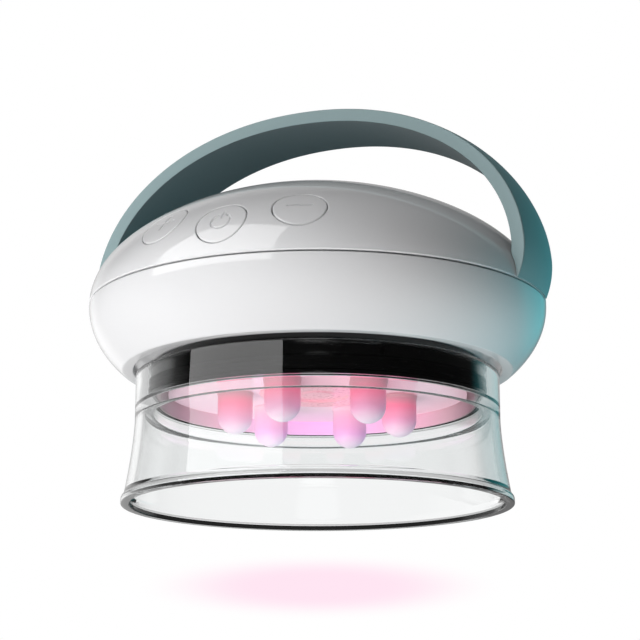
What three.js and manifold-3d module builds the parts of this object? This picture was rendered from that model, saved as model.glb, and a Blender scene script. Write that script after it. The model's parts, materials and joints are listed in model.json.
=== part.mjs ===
// A hand-held suction massager: a round housing with an arched handle, three keys on its front,
// a clear twist-on suction cup underneath, and a lit turning plate with six massage fingers inside it.
// Lengths are in millimetres. The origin is the centre of the cup's rim, +Z is up, the keys face -Y.
import * as THREE from "three";
import { mergeVertices } from "three/addons/utils/BufferGeometryUtils.js";
import Module from "manifold-3d";

const wasm = await Module();
wasm.setup();

// Driving sizes of the housing
const bodyRadius = 70;
const seamOverSeat = 0.5;
const domeRise = 37.5;
const bellyDepth = 36.6;
const shellWall = 2.4;
const seamGap = 0.5;
const domeSpacingPower = 0.8;
const domeFallPower = 1.6973;
const domeRoundPower = 2.0047;
const bellyFallPower = 2.07;
const bellyRoundPower = 2.025;

// Fits and small clearances shared by all pieces
const clearance = 0.3;
const overrun = 2;
const turningGap = 0.5;
const weldReach = 0.00001;

// Clear suction cup
const collarInset = 14.7;
const cupCollarRadius = bodyRadius - collarInset;
const cupCollarTop = 39.4;
const cupWall = 4.1;
const cupLedgeHeight = 26.3;
const cupLedgeThickness = 3.4;
const cupLedgeReach = 1.5;
const cupSkirtWall = 2.6;
const cupFlare = 3.4;
const cupFlareTop = 25.5;
const cupFlarePower = 1.5;
const beadRadius = 1.35;
const rimLandWidth = 1.0;

// Neck, its seal and the twist lock
const neckWall = 1.6;
const neckPlay = 0.72;
const neckRadius = cupCollarRadius - cupWall - neckPlay;
const sealThickness = 0.7;
const sealWidth = 3.7;
const sealRise = 1.6;
const lockPinRadius = 1.5;
const lockPinCount = 3;
const lockPinAngle = 29.5;
const lockPinRise = 7;
const lockTurn = 12.5;
const lockPinReach = 2.4;
const lockSkin = 1.2;

// Massage head
const plateRecess = 4.2;
const plateThickness = 2.2;
const plateStep = 0.8;
const diffuserWall = 0.9;
const fingerCount = 6;
const fingerRadius = 5.3;
const fingerLength = 12.5;
const fingerCircle = 25.1;
const fingerStemRadius = 2.6;
const fingerRoot = 1.1;
const capRadius = 17.4;
const capRingRadius = 9.1;
const capBossRadius = 5.7;
const capThickness = 1.3;

// Deck, light board and drive
const ledRoom = 2.0;
const boardThickness = 1.2;
const deckThickness = 2.4;
const shaftRadius = 4;
const bushWall = 3.2;
const hubWall = 2.4;
const bushLength = 9.4;
const bushFlange = 0.9;
const clipThickness = 0.8;
const gearModule = 0.8;
const gearTeeth = 48;
const pinionTeeth = 12;
const gearThickness = 5;
const gearSlack = 0.25;
const toothRootShare = 1.25;
const toothFootShare = 0.26;
const toothTipShare = 0.12;
const motorRadius = 12;
const motorLength = 23;
const motorShaftRadius = 1.5;

// Handle
const handleStand = 1.3;
const handleSpan = bodyRadius + handleStand;
const handleBaseRise = 8;
const handleRise = 52.5;
const handleThickness = 4;
const handleTopHalfWidth = 13.2;
const handleFootHalfWidth = 14;
const handleCrown = 1.3;
const handleDrawIn = 1;
const drawInEndShare = 0.2;
const handleEdge = 0.7;
const handleTaperPower = 0.7;
const handleSquarePower = 2.09;
const tabWidth = 16;
const tabThickness = 2.4;
const tabRise = 4.1;
const tabReach = 11;

// Keys
const keyTravel = 0.5;
const keyCapThickness = 1.8;
const keyFlange = 1.1;
const keyFlangeThickness = 0.9;
const keyStemRadius = 1.8;
const iconDepth = 0.6;
const iconStroke = 0.55;
const iconSize = 3.4;
const loopShare = 0.85;
const loopOpening = 25;
const strokeLowShare = 0.38;
const strokeHighShare = 1.2;
const sideSignRise = 0.9;
const sideKeyRadius = 7.55;
const powerKeyRadius = 7.45;
const sideKeyAngle = 19.5;
const keys = [
  { name: "plus", angle: -sideKeyAngle, radius: sideKeyRadius, placeShare: 0.914, signRise: sideSignRise },
  { name: "power", angle: 0, radius: powerKeyRadius, placeShare: 0.949, signRise: 0 },
  { name: "minus", angle: sideKeyAngle, radius: sideKeyRadius, placeShare: 0.914, signRise: sideSignRise },
];

// Facet counts
const roundSteps = 40;
const domeSteps = 9;
const domeInnerSteps = 5;
const bellySteps = 7;
const bellyInnerSteps = 4;
const handleSteps = 32;
const tipSteps = 4;
const keySteps = 24;
const shaftSteps = 16;
const smallSteps = 14;
const tinySteps = 8;

const degree = Math.PI / 180;

// Mesh and solid helpers

// turns a closed geometry into a solid, with shared vertices merged and slivers left out
function solid(geometry) {
  const bare = geometry.clone();
  bare.deleteAttribute("normal");
  bare.deleteAttribute("uv");
  const merged = mergeVertices(bare, weldReach);
  const index = merged.index.array;
  const triangles = [];
  for (let i = 0; i < index.length; i += 3) {
    const [a, b, c] = [index[i], index[i + 1], index[i + 2]];
    if (a !== b && b !== c && c !== a) triangles.push(a, b, c);
  }
  const vertProperties = new Float32Array(merged.attributes.position.array);
  const triVerts = new Uint32Array(triangles);
  return new wasm.Manifold(new wasm.Mesh({ numProp: 3, vertProperties, triVerts }));
}

function geometryOf(body) {
  const mesh = body.getMesh();
  const geometry = new THREE.BufferGeometry();
  geometry.setAttribute("position", new THREE.BufferAttribute(Float32Array.from(mesh.vertProperties), 3));
  geometry.setIndex(new THREE.BufferAttribute(Uint32Array.from(mesh.triVerts), 1));
  geometry.computeVertexNormals();
  return geometry;
}

function joined(...bodies) {
  return bodies.reduce((sum, body) => sum.add(body));
}

function cutBy(base, ...tools) {
  return tools.reduce((rest, tool) => rest.subtract(tool), base);
}

// a profile of [radius, height] pairs turned about Z; outer walls run upwards
function turned(profile, steps = roundSteps) {
  const points = profile.map(([radius, height]) => new THREE.Vector2(radius, height));
  const lathe = new THREE.LatheGeometry(points, steps);
  lathe.rotateX(Math.PI / 2);
  return solid(lathe);
}

// a ring or, with no inner radius, a disc between two heights
function ring(inner, outer, low, high, steps = roundSteps) {
  if (inner === 0) return turned([[0, low], [outer, low], [outer, high], [0, high]], steps);
  return turned([[inner, low], [outer, low], [outer, high], [inner, high], [inner, low]], steps);
}

function moved(body, x, y, z = 0) {
  return body.translate([x, y, z]);
}

function block(lowX, highX, lowY, highY, lowZ, highZ) {
  const box = new THREE.BoxGeometry(highX - lowX, highY - lowY, highZ - lowZ);
  box.translate((lowX + highX) / 2, (lowY + highY) / 2, (lowZ + highZ) / 2);
  return solid(box);
}

// the point at an angle from the front, positive towards +X
function around(radius, angle) {
  return [radius * Math.sin(angle * degree), -radius * Math.cos(angle * degree)];
}

const sectorStep = 20;

// a slab of a ring between two angles from the front
function sector(inner, outer, fromAngle, toAngle, low, high) {
  const start = fromAngle * degree - Math.PI / 2;
  const end = toAngle * degree - Math.PI / 2;
  const shape = new THREE.Shape();
  shape.absarc(0, 0, outer, start, end, false);
  shape.absarc(0, 0, inner, end, start, true);
  shape.closePath();
  const curveSegments = Math.max(3, Math.ceil((toAngle - fromAngle) / sectorStep));
  const slab = new THREE.ExtrudeGeometry(shape, { depth: high - low, bevelEnabled: false, curveSegments });
  slab.translate(0, 0, low);
  return solid(slab);
}

// Colours
const white = 0xe9eaea;
const teal = 0x7fa9ab;
const black = 0x0b0b0c;
const clear = 0xf4f8f8;
const pink = 0xf7a9bd;
const fingerPink = 0xf29ab8;
const steel = 0xb9bcc0;
const bronze = 0xb08a4e;
const motorGrey = 0x9da1a6;
const cream = 0xe6e1d2;
const milky = 0xd9d9d6;
const boardWhite = 0xe8e8e6;
const boardGreen = 0x1f5b3a;
const cellBlue = 0x4f7f9a;
const darkPlastic = 0x2b2d30;

function plastic(color, roughness) {
  return new THREE.MeshStandardMaterial({ color, roughness, metalness: 0 });
}

function metal(color, roughness) {
  return new THREE.MeshStandardMaterial({ color, roughness, metalness: 1 });
}

function clearPlastic(color) {
  const material = plastic(color, 0.03);
  material.transparent = true;
  material.opacity = 0.35;
  return material;
}

// The assembly and its groups
const root = new THREE.Group();
const groupNames = ["housing", "grip", "cup", "head", "drive", "vacuum", "power", "controls"];
const groups = groupNames.map(() => new THREE.Group());
root.add(...groups);
const [housing, grip, cupGroup, head, drive, vacuum, power, controls] = groups;

// adds a named piece to a group, moved to its place
function addPiece(group, name, body, material, place = [0, 0, 0]) {
  const mesh = new THREE.Mesh(geometryOf(body), material);
  mesh.name = name;
  mesh.position.set(...place);
  group.add(mesh);
  return mesh;
}

// Heights that follow from the sizes, from the cup's ledge upwards
const ledgeTop = cupLedgeHeight + cupLedgeThickness;
const neckBottom = ledgeTop + clearance;
const plateFace = neckBottom + plateRecess;
const plateTop = plateFace + plateThickness;
const boardBottom = plateTop + ledRoom;
const boardTop = boardBottom + boardThickness;
const deckBottom = boardTop + clearance;
const deckTop = deckBottom + deckThickness;
const floorBottom = deckTop + clearance;
const floorTop = floorBottom + shellWall;
const bushBottom = deckBottom + turningGap;
const bushTop = bushBottom + bushLength;
const clipBottom = bushTop + clearance;
const gearBottom = clipBottom + clipThickness + clearance;
const gearTop = gearBottom + gearThickness;
const chassisBottom = gearTop + 3 * turningGap;
const chassisThickness = 2;
const chassisTop = chassisBottom + chassisThickness;
const seat = chassisTop + clearance;
const seamHeight = seat + seamOverSeat;
const handleBase = seamHeight + handleBaseRise;
const tabHeight = seamHeight + tabRise;

const neckInner = neckRadius - neckWall;
const plateRadius = neckInner - clearance - diffuserWall - turningGap;
const mouthGap = 0.7;
const mouthRadius = cupCollarRadius + mouthGap;

// Housing shells

// height of the dome's outer surface at a radius, for a dome grown or shrunk by an offset
function domeHeight(radius, offset = 0) {
  const share = Math.min(radius / (bodyRadius + offset), 1);
  return seamHeight + (domeRise + offset) * (1 - share ** domeFallPower) ** (1 / domeRoundPower);
}

function domeProfile(offset, foot, steps) {
  const points = [[0, foot], [bodyRadius + offset, foot]];
  for (let i = 0; i <= steps; i++) {
    const share = i === steps ? 0 : Math.cos((i / steps) * (Math.PI / 2)) ** domeSpacingPower;
    const radius = (bodyRadius + offset) * share;
    points.push([radius, domeHeight(radius, offset)]);
  }
  return points;
}

function domeSolid(offset, foot, steps = domeSteps) {
  return turned(domeProfile(offset, foot, steps));
}

// radius of the belly's outer surface at a height, for a belly shrunk by an offset
function bellyRadius(height, offset = 0) {
  const share = Math.min(Math.max((seamHeight - height) / (bellyDepth - offset), 0), 1);
  return (bodyRadius - offset) * (1 - share ** bellyFallPower) ** (1 / bellyRoundPower);
}

const columnRadius = 3.6;
const columnBore = 1.4;
const columnInset = 22;
const columnCircle = bodyRadius - columnInset;
const columnAngles = [60, 180, -60];
const columns = columnAngles.map((angle) => around(columnCircle, angle));
const keyPlaces = keys.map((key) => keyPlace(key));

// the point, the outward normal and the turned frame of a key on the dome
function keyPlace(key) {
  const radius = bodyRadius * key.placeShare;
  const step = shellWall / 10;
  const slope = (domeHeight(radius + step) - domeHeight(radius - step)) / (2 * step);
  const [x, y] = around(radius, key.angle);
  const outward = new THREE.Vector3(...around(1, key.angle), 0);
  const normal = outward.clone().multiplyScalar(-slope).add(new THREE.Vector3(0, 0, 1)).normalize();
  const across = new THREE.Vector3(0, 0, 1).cross(outward).normalize();
  const up = normal.clone().cross(across);
  const frame = new THREE.Matrix4().makeBasis(across, up, normal);
  frame.setPosition(x, y, domeHeight(radius));
  return { ...key, normal, frame };
}

function placed(body, frame) {
  return body.transform(frame.elements);
}

const keyDepth = shellWall + keyCapThickness + 3 * clearance;

const tabOuter = handleSpan - 2 * clearance;
const tabInner = bodyRadius - tabReach;
const tabScrewPlace = tabInner + tabReach / 3;
const tabScrewSpread = tabWidth / 4;

// Upper shell: dome, screw columns, blocks over the handle's tabs, key holes and tab slots
const upperFoot = seamHeight + seamGap / 2;
const domeOuter = domeSolid(0, upperFoot);
const domeInner = domeSolid(-shellWall, upperFoot - overrun, domeInnerSteps);
const insideDome = domeSolid(-shellWall / 2, upperFoot, domeInnerSteps);
let upperShell = domeOuter.subtract(domeInner);
for (const [x, y] of columns) {
  const column = moved(ring(0, columnRadius, seat, seamHeight + domeRise, smallSteps), x, y);
  upperShell = upperShell.add(column.intersect(domeSolid(-shellWall / 2, seat - overrun, domeInnerSteps)));
}
const tabTop = tabHeight + tabThickness / 2;
const tabBlockReach = 1.5 * tabThickness;
for (const side of [-1, 1]) {
  const near = tabScrewPlace - tabBlockReach;
  const far = tabScrewPlace + tabBlockReach;
  const [lowX, highX] = side > 0 ? [near, far] : [-far, -near];
  const anchor = block(lowX, highX, -tabWidth / 2, tabWidth / 2, tabTop + clearance, seamHeight + domeRise);
  upperShell = upperShell.add(anchor.intersect(insideDome));
  const slotEnds = side > 0 ? [tabScrewPlace, bodyRadius + overrun] : [-bodyRadius - overrun, -tabScrewPlace];
  const slotHalf = tabWidth / 2 + clearance;
  const slotLow = tabHeight - tabThickness / 2 - clearance;
  upperShell = upperShell.subtract(block(...slotEnds, -slotHalf, slotHalf, slotLow, tabTop + clearance));
}
for (const place of keyPlaces) {
  const hole = ring(0, place.radius + clearance, -2 * keyDepth, keyDepth, keySteps);
  upperShell = upperShell.subtract(placed(hole, place.frame));
}
for (const [x, y] of columns) {
  const bore = ring(0, columnBore, seat - overrun, seat + 4 * columnRadius, tinySteps);
  upperShell = upperShell.subtract(moved(bore, x, y));
}
for (const side of [-1, 1]) {
  for (const spread of [-1, 1]) {
    const hole = ring(0, columnBore, tabTop, tabTop + 2 * tabThickness + clearance, tinySteps);
    upperShell = upperShell.subtract(moved(hole, side * tabScrewPlace, spread * tabScrewSpread));
  }
}
addPiece(housing, "upper_shell", upperShell, plastic(white, 0.22));

// Lower shell: belly, rounded lip round the mouth, floor, columns and the inlet's opening
const lowerTop = seamHeight - seamGap / 2;
const lipRise = 0.5;
const lipHeight = cupCollarTop + lipRise;
const lipRound = 1.6;
const neckScrewInset = 5.4;
const neckScrewCircle = neckInner - neckScrewInset;
const floorMargin = 9.5;
const floorOpening = neckScrewCircle - floorMargin;
const bellyEnd = lipHeight + lipRound / 2;
const lowerProfile = [[mouthRadius, floorBottom], [mouthRadius, lipHeight + lipRound / 2]];
lowerProfile.push([mouthRadius + lipRound / 3, lipHeight]);
lowerProfile.push([bellyRadius(bellyEnd) - lipRound / 2, lipHeight]);
for (let i = 0; i <= bellySteps; i++) {
  const share = Math.sin((i / bellySteps) * (Math.PI / 2));
  const height = bellyEnd + (lowerTop - bellyEnd) * share;
  lowerProfile.push([bellyRadius(height), height]);
}
for (let i = bellyInnerSteps; i >= 0; i--) {
  const height = floorTop + (lowerTop - floorTop) * Math.sin((i / bellyInnerSteps) * (Math.PI / 2));
  lowerProfile.push([bellyRadius(height, shellWall), height]);
}
lowerProfile.push([floorOpening, floorTop], [floorOpening, floorBottom], [mouthRadius, floorBottom]);
let lowerShell = turned(lowerProfile);
for (const [x, y] of columns) {
  const column = ring(0, columnRadius, floorBottom, chassisBottom - clearance, smallSteps);
  lowerShell = lowerShell.add(moved(column, x, y));
}
const neckScrewRadius = 1.2;
const neckScrewHead = 2.3;
const neckScrewPlaces = [45, 135, -135, -45].map((angle) => around(neckScrewCircle, angle));
for (const [x, y] of neckScrewPlaces) {
  const boss = ring(0, columnRadius, floorBottom, floorTop + 2 * shellWall, smallSteps);
  lowerShell = lowerShell.add(moved(boss, x, y));
  const bore = ring(0, neckScrewRadius + clearance, floorBottom - overrun, floorTop + shellWall, tinySteps);
  lowerShell = lowerShell.subtract(moved(bore, x, y));
}
const shellScrewRadius = 1.1;
const shellScrewHead = 2.2;
const shellScrewHeadHeight = 1.6;
for (const [x, y] of columns) {
  const bore = ring(0, shellScrewRadius + clearance, floorBottom - overrun, chassisBottom, tinySteps);
  const pocketTop = floorBottom + 2 * clearance + shellScrewHeadHeight;
  const pocket = ring(0, shellScrewHead + clearance, floorBottom - overrun, pocketTop, tinySteps);
  lowerShell = cutBy(lowerShell, moved(bore, x, y), moved(pocket, x, y));
}
const inletWidth = 9.0;
const inletHeight = 3.3;
const inletDepth = 7.4;
const inletWall = 0.4;
const inletDrop = 8;
const inletLevel = seamHeight - inletDrop;
const inletSetback = 0.6;
const inletFace = bellyRadius(inletLevel) - inletSetback;
const inletCut = block(
  -inletWidth / 2 - clearance, inletWidth / 2 + clearance, inletFace - inletDepth, bodyRadius + overrun,
  inletLevel - inletHeight / 2 - clearance, inletLevel + inletHeight / 2 + clearance,
);
lowerShell = lowerShell.subtract(inletCut);
addPiece(housing, "lower_shell", lowerShell, plastic(white, 0.22));

// Charging inlet with its tongue, and the small board that holds it
const inletLow = inletLevel - inletHeight / 2;
const inletHigh = inletLevel + inletHeight / 2;
const inletBack = inletFace - inletDepth;
const inletBody = block(-inletWidth / 2, inletWidth / 2, inletBack, inletFace, inletLow, inletHigh);
const inletMouth = block(
  -inletWidth / 2 + inletWall, inletWidth / 2 - inletWall, inletBack + inletWall, inletFace + overrun,
  inletLow + inletWall, inletHigh - inletWall,
);
const tongue = block(
  -inletWidth / 3, inletWidth / 3, inletBack, inletFace - inletDepth / 5,
  inletLevel - inletWall, inletLevel + inletWall,
);
addPiece(power, "charge_inlet", inletBody.subtract(inletMouth).add(tongue), metal(steel, 0.3));
const inletBoardLow = inletLow - clearance - boardThickness;
const inletBoardHalf = 0.8 * inletWidth;
const inletBoardStart = inletFace - 1.6 * inletDepth;
const inletBoardLimit = bellyRadius(inletBoardLow, shellWall);
const inletBoardEnd = Math.sqrt(inletBoardLimit ** 2 - inletBoardHalf ** 2) - 2 * clearance;
const inletBoard = block(
  -inletBoardHalf, inletBoardHalf, inletBoardStart, inletBoardEnd, inletBoardLow, inletLow - clearance,
);
addPiece(power, "inlet_board", inletBoard, plastic(boardGreen, 0.5));

// Handle: an arched band, a little squarer than an ellipse, with a crowned outer face; its feet draw in
// towards the round of the housing
function handleSection(angle, share, offset) {
  const power = 2 / handleSquarePower;
  const cos = Math.cos(angle);
  const sin = Math.sin(angle);
  const x = handleSpan * Math.sign(cos) * Math.abs(cos) ** power;
  const z = handleBase + handleRise * Math.sign(sin) * Math.abs(sin) ** power;
  const outX = (Math.sign(cos) * Math.abs(cos) ** (2 - power)) / handleSpan;
  const outZ = (Math.sign(sin) * Math.abs(sin) ** (2 - power)) / handleRise;
  const move = (handleCrown * (1 - share * share) - offset) / Math.hypot(outX, outZ);
  const level = Math.min(Math.max((z - seamHeight) / (handleBase + handleRise - seamHeight), 0), 1);
  const width = handleFootHalfWidth + (handleTopHalfWidth - handleFootHalfWidth) * level ** handleTaperPower;
  const drawn = handleDrawIn * Math.max(1 - level / drawInEndShare, 0) ** 2;
  return [x + move * outX - Math.sign(x) * drawn, share * width, z + move * outZ];
}

function handleBand(steps) {
  const edgeShare = handleEdge / handleFootHalfWidth;
  const depth = handleThickness;
  const section = [
    [-1 + edgeShare, 0], [-0.5, 0], [0, 0], [0.5, 0], [1 - edgeShare, 0], [1, handleEdge],
    [1, depth - handleEdge], [1 - edgeShare, depth], [0, depth], [-1 + edgeShare, depth],
    [-1, depth - handleEdge], [-1, handleEdge],
  ];
  const foot = Math.asin(((handleBase - seamHeight + overrun) / handleRise) ** (handleSquarePower / 2));
  const positions = [];
  for (let i = 0; i <= steps; i++) {
    const angle = -foot + (Math.PI + 2 * foot) * (i / steps);
    for (const [share, offset] of section) positions.push(...handleSection(angle, share, offset));
  }
  const count = section.length;
  const index = [];
  for (let i = 0; i < steps; i++) {
    for (let j = 0; j < count; j++) {
      const a = i * count + j;
      const b = i * count + ((j + 1) % count);
      index.push(a, b, b + count, a, b + count, a + count);
    }
  }
  const last = steps * count;
  for (let j = 1; j < count - 1; j++) {
    index.push(0, j + 1, j);
    index.push(last, last + j, last + j + 1);
  }
  const geometry = new THREE.BufferGeometry();
  geometry.setAttribute("position", new THREE.Float32BufferAttribute(positions, 3));
  geometry.setIndex(index);
  return solid(geometry);
}

let handle = handleBand(handleSteps);
handle = handle.subtract(domeSolid(clearance, seamHeight - 2 * overrun));
const farOut = 2 * bodyRadius;
handle = handle.subtract(block(-farOut, farOut, -farOut, farOut, -farOut, upperFoot));
for (const side of [-1, 1]) {
  const ends = side > 0 ? [tabInner, tabOuter] : [-tabOuter, -tabInner];
  handle = handle.add(block(...ends, -tabWidth / 2, tabWidth / 2, tabHeight - tabThickness / 2, tabTop));
  for (const spread of [-1, 1]) {
    const hole = ring(0, columnBore, tabHeight - tabThickness, tabTop + overrun, tinySteps);
    handle = handle.subtract(moved(hole, side * tabScrewPlace, spread * tabScrewSpread));
  }
}
addPiece(grip, "handle", handle, plastic(teal, 0.35));

// a flat-headed screw pointing up from its head
function screw(shankRadius, shankLength, headRadius, headHeight) {
  return turned([
    [0, 0], [headRadius, 0], [headRadius, headHeight], [shankRadius, headHeight],
    [shankRadius, headHeight + shankLength], [0, headHeight + shankLength],
  ], tinySteps);
}

function addScrews(group, name, places, low, one) {
  places.forEach(([x, y], i) => addPiece(group, `${name}_${i + 1}`, one, metal(steel, 0.35), [x, y, low]));
}

const smallScrewHeadHeight = 1.3;
const handleScrewLow = tabHeight - tabThickness / 2 - clearance - smallScrewHeadHeight;
const handleScrewPlaces = [-1, 1].flatMap((side) =>
  [-1, 1].map((spread) => [side * tabScrewPlace, spread * tabScrewSpread]));
const handleScrew = screw(shellScrewRadius, 2 * tabThickness, 2 * shellScrewRadius, smallScrewHeadHeight);
addScrews(grip, "handle_screw", handleScrewPlaces, handleScrewLow, handleScrew);

const shellScrewLength = seat + 2 * columnRadius - floorBottom - clearance - shellScrewHeadHeight;
const shellScrew = screw(shellScrewRadius, shellScrewLength, shellScrewHead, shellScrewHeadHeight);
addScrews(housing, "shell_screw", columns, floorBottom + clearance, shellScrew);

// Clear cup: a straight collar with an inner ledge, a flared skirt and a round bead at the rim
function skirtRadius(height) {
  const share = Math.max(1 - height / cupFlareTop, 0);
  return cupCollarRadius + cupFlare * share ** cupFlarePower;
}
const cupInner = cupCollarRadius - cupWall;
const ledgeInner = cupInner - cupLedgeReach;
const beadCentre = skirtRadius(0) - cupSkirtWall / 2 + clearance;
const cupProfile = [[beadCentre - rimLandWidth / 2, 0], [beadCentre + rimLandWidth / 2, 0]];
const beadOuterAngles = [-30, 0, 35];
const beadInnerAngles = [145, 180, 210];
const skirtOuterShares = [0.14, 0.35, 0.65, 1];
const skirtInnerShares = [0.8, 0.45, 0.16];

function addBead(angles) {
  for (const angle of angles) {
    const out = beadRadius * Math.cos(angle * degree);
    cupProfile.push([beadCentre + out, beadRadius * (1 + Math.sin(angle * degree))]);
  }
}

addBead(beadOuterAngles);
for (const share of skirtOuterShares) {
  const height = 2 * beadRadius + (cupFlareTop - 2 * beadRadius) * share;
  cupProfile.push([skirtRadius(height), height]);
}
const cupEdge = 0.5;
cupProfile.push([cupCollarRadius, cupCollarTop - cupEdge], [cupCollarRadius - cupEdge, cupCollarTop]);
cupProfile.push([cupInner + cupEdge, cupCollarTop], [cupInner, cupCollarTop - cupEdge]);
cupProfile.push([cupInner, ledgeTop], [ledgeInner, ledgeTop], [ledgeInner, cupLedgeHeight]);
for (const share of skirtInnerShares) {
  const height = 2 * beadRadius + (cupLedgeHeight - 2 * beadRadius) * share;
  cupProfile.push([Math.max(skirtRadius(height) - cupSkirtWall, ledgeInner + cupEdge), height]);
}
addBead(beadInnerAngles);
cupProfile.push([beadCentre - rimLandWidth / 2, 0]);
let cup = turned(cupProfile);
const lockHeight = neckBottom + lockPinRise;
const slotHalfHeight = lockPinRadius + clearance;
const slotHalfAngle = slotHalfHeight / (cupInner * degree);
const slotInner = cupInner - overrun;
const slotOuter = cupCollarRadius - lockSkin;
for (let i = 0; i < lockPinCount; i++) {
  const angle = lockPinAngle + (360 / lockPinCount) * i;
  const entry = angle + lockTurn;
  const low = lockHeight - slotHalfHeight;
  const run = sector(
    slotInner, slotOuter, angle - slotHalfAngle, entry + slotHalfAngle, low, lockHeight + slotHalfHeight,
  );
  const mouth = sector(
    slotInner, slotOuter, entry - slotHalfAngle, entry + slotHalfAngle, low, cupCollarTop + overrun,
  );
  cup = cutBy(cup, run, mouth);
}
addPiece(cupGroup, "suction_cup", cup, clearPlastic(clear));

// Black neck: wall, deck, bearing hub and lock pins in one piece
const hubInner = shaftRadius + clearance + bushWall + clearance;
const hubOuter = hubInner + hubWall;
const hubTop = bushTop - bushFlange - clearance;
const sealLow = neckBottom + sealRise;
const sealHigh = sealLow + sealWidth;
const grooveRadius = neckRadius - sealThickness / 2;
let neck = turned([
  [neckInner, neckBottom], [neckRadius, neckBottom], [neckRadius, sealLow - clearance],
  [grooveRadius, sealLow - clearance], [grooveRadius, sealHigh + clearance],
  [neckRadius, sealHigh + clearance], [neckRadius, deckTop], [hubOuter, deckTop], [hubOuter, hubTop],
  [hubInner, hubTop], [hubInner, deckBottom], [neckInner, deckBottom], [neckInner, neckBottom],
]);
for (let i = 0; i < lockPinCount; i++) {
  const angle = lockPinAngle + (360 / lockPinCount) * i;
  const pin = ring(0, lockPinRadius, -neckWall / 2, lockPinReach, tinySteps);
  const frame = new THREE.Matrix4().makeRotationY(Math.PI / 2);
  frame.premultiply(new THREE.Matrix4().makeRotationZ((angle - 90) * degree));
  const [x, y] = around(neckRadius, angle);
  frame.setPosition(x, y, lockHeight);
  neck = neck.add(placed(pin, frame));
}
const portCircle = 27.4;
const portRadius = 1.6;
const portPlace = around(portCircle, -130);
const valveCircle = 28.4;
const valvePlace = around(valveCircle, 130);
for (const [x, y] of [portPlace, valvePlace]) {
  neck = neck.subtract(moved(ring(0, portRadius, deckBottom - overrun, deckTop + overrun, tinySteps), x, y));
}
for (const [x, y] of neckScrewPlaces) {
  const bore = ring(0, neckScrewRadius + clearance, deckBottom - overrun, deckTop + overrun, tinySteps);
  neck = neck.subtract(moved(bore, x, y));
}
addPiece(housing, "neck_ring", neck, plastic(black, 0.12));

const seal = turned([
  [grooveRadius + clearance / 2, sealLow], [neckRadius + sealThickness - clearance, sealLow],
  [neckRadius + sealThickness - clearance, sealHigh], [grooveRadius + clearance / 2, sealHigh],
  [grooveRadius + clearance / 2, sealLow],
]);
addPiece(housing, "cup_seal", seal, plastic(black, 0.7));

const neckScrewHeadHeight = 1.4;
const neckScrew = screw(neckScrewRadius, floorTop - deckBottom, neckScrewHead, neckScrewHeadHeight);
addScrews(housing, "neck_screw", neckScrewPlaces, deckBottom - clearance - neckScrewHeadHeight, neckScrew);

// Light: a translucent ring that lines the neck, the ring board and its lamps
const diffuserOuter = neckInner - clearance;
const diffuserInner = diffuserOuter - diffuserWall;
const lightRing = ring(diffuserInner, diffuserOuter, neckBottom, boardBottom);
addPiece(housing, "light_ring", lightRing, plastic(pink, 0.4));
const lightBoardInner = hubOuter + clearance;
const lightBoardOuter = neckScrewCircle - neckScrewHead - 2 * clearance;
let lightBoard = ring(lightBoardInner, lightBoardOuter, boardBottom, boardTop, keySteps);
for (const [x, y] of [portPlace, valvePlace]) {
  const hole = ring(0, 2 * portRadius, boardBottom - overrun, boardTop + overrun, tinySteps);
  lightBoard = lightBoard.subtract(moved(hole, x, y));
}
const lampSize = 3.2;
const lampHeight = 0.8;
const lampCount = 16;
const lampCircle = lightBoardOuter - lampSize;
for (let i = 0; i < lampCount; i++) {
  const half = lampSize / 2;
  const low = boardBottom - lampHeight;
  const high = boardBottom + boardThickness / 2;
  const lamp = block(-half, half, -lampCircle - half, -lampCircle + half, low, high);
  lightBoard = lightBoard.add(lamp.rotate([0, 0, (360 / lampCount) * i]));
}
addPiece(power, "light_board", lightBoard, plastic(boardWhite, 0.5));

// Turning plate with its hub, the cap over the hub and six soft fingers
const hubRise = turningGap;
const plateBore = shaftRadius + clearance / 3;
const capRecess = capRadius + clearance;
const plateBossRadius = hubInner - clearance;
let plate = turned([
  [0, plateFace + plateStep], [capRecess, plateFace + plateStep], [capRecess, plateFace],
  [plateRadius, plateFace], [plateRadius, plateTop], [plateBossRadius, plateTop],
  [plateBossRadius, deckBottom - turningGap], [plateBore, deckBottom - turningGap],
  [plateBore, plateFace + plateStep + hubRise], [0, plateFace + plateStep + hubRise],
]);
const fingers = [];
for (let i = 0; i < fingerCount; i++) {
  const [x, y] = around(fingerCircle, (360 / fingerCount) * i);
  const hole = ring(0, fingerStemRadius + clearance, plateFace - overrun, plateTop + overrun, tinySteps);
  plate = plate.subtract(moved(hole, x, y));
  fingers.push([x, y]);
}
addPiece(head, "massage_plate", plate, plastic(pink, 0.35));

const capTop = plateFace + plateStep - clearance;
const capBottom = capTop - capThickness;
const capStep = capBottom + capThickness / 2;
const cap = turned([
  [0, capBottom + capThickness / 4], [0.8 * capBossRadius, capBottom + capThickness / 4],
  [capBossRadius, capStep], [capRingRadius - capThickness / 4, capStep],
  [capRingRadius + capThickness / 4, capBottom], [capRadius - capThickness / 2, capBottom],
  [capRadius, capStep], [capRadius, capTop], [0, capTop],
], keySteps);
addPiece(head, "hub_cap", cap, plastic(pink, 0.35));

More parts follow.
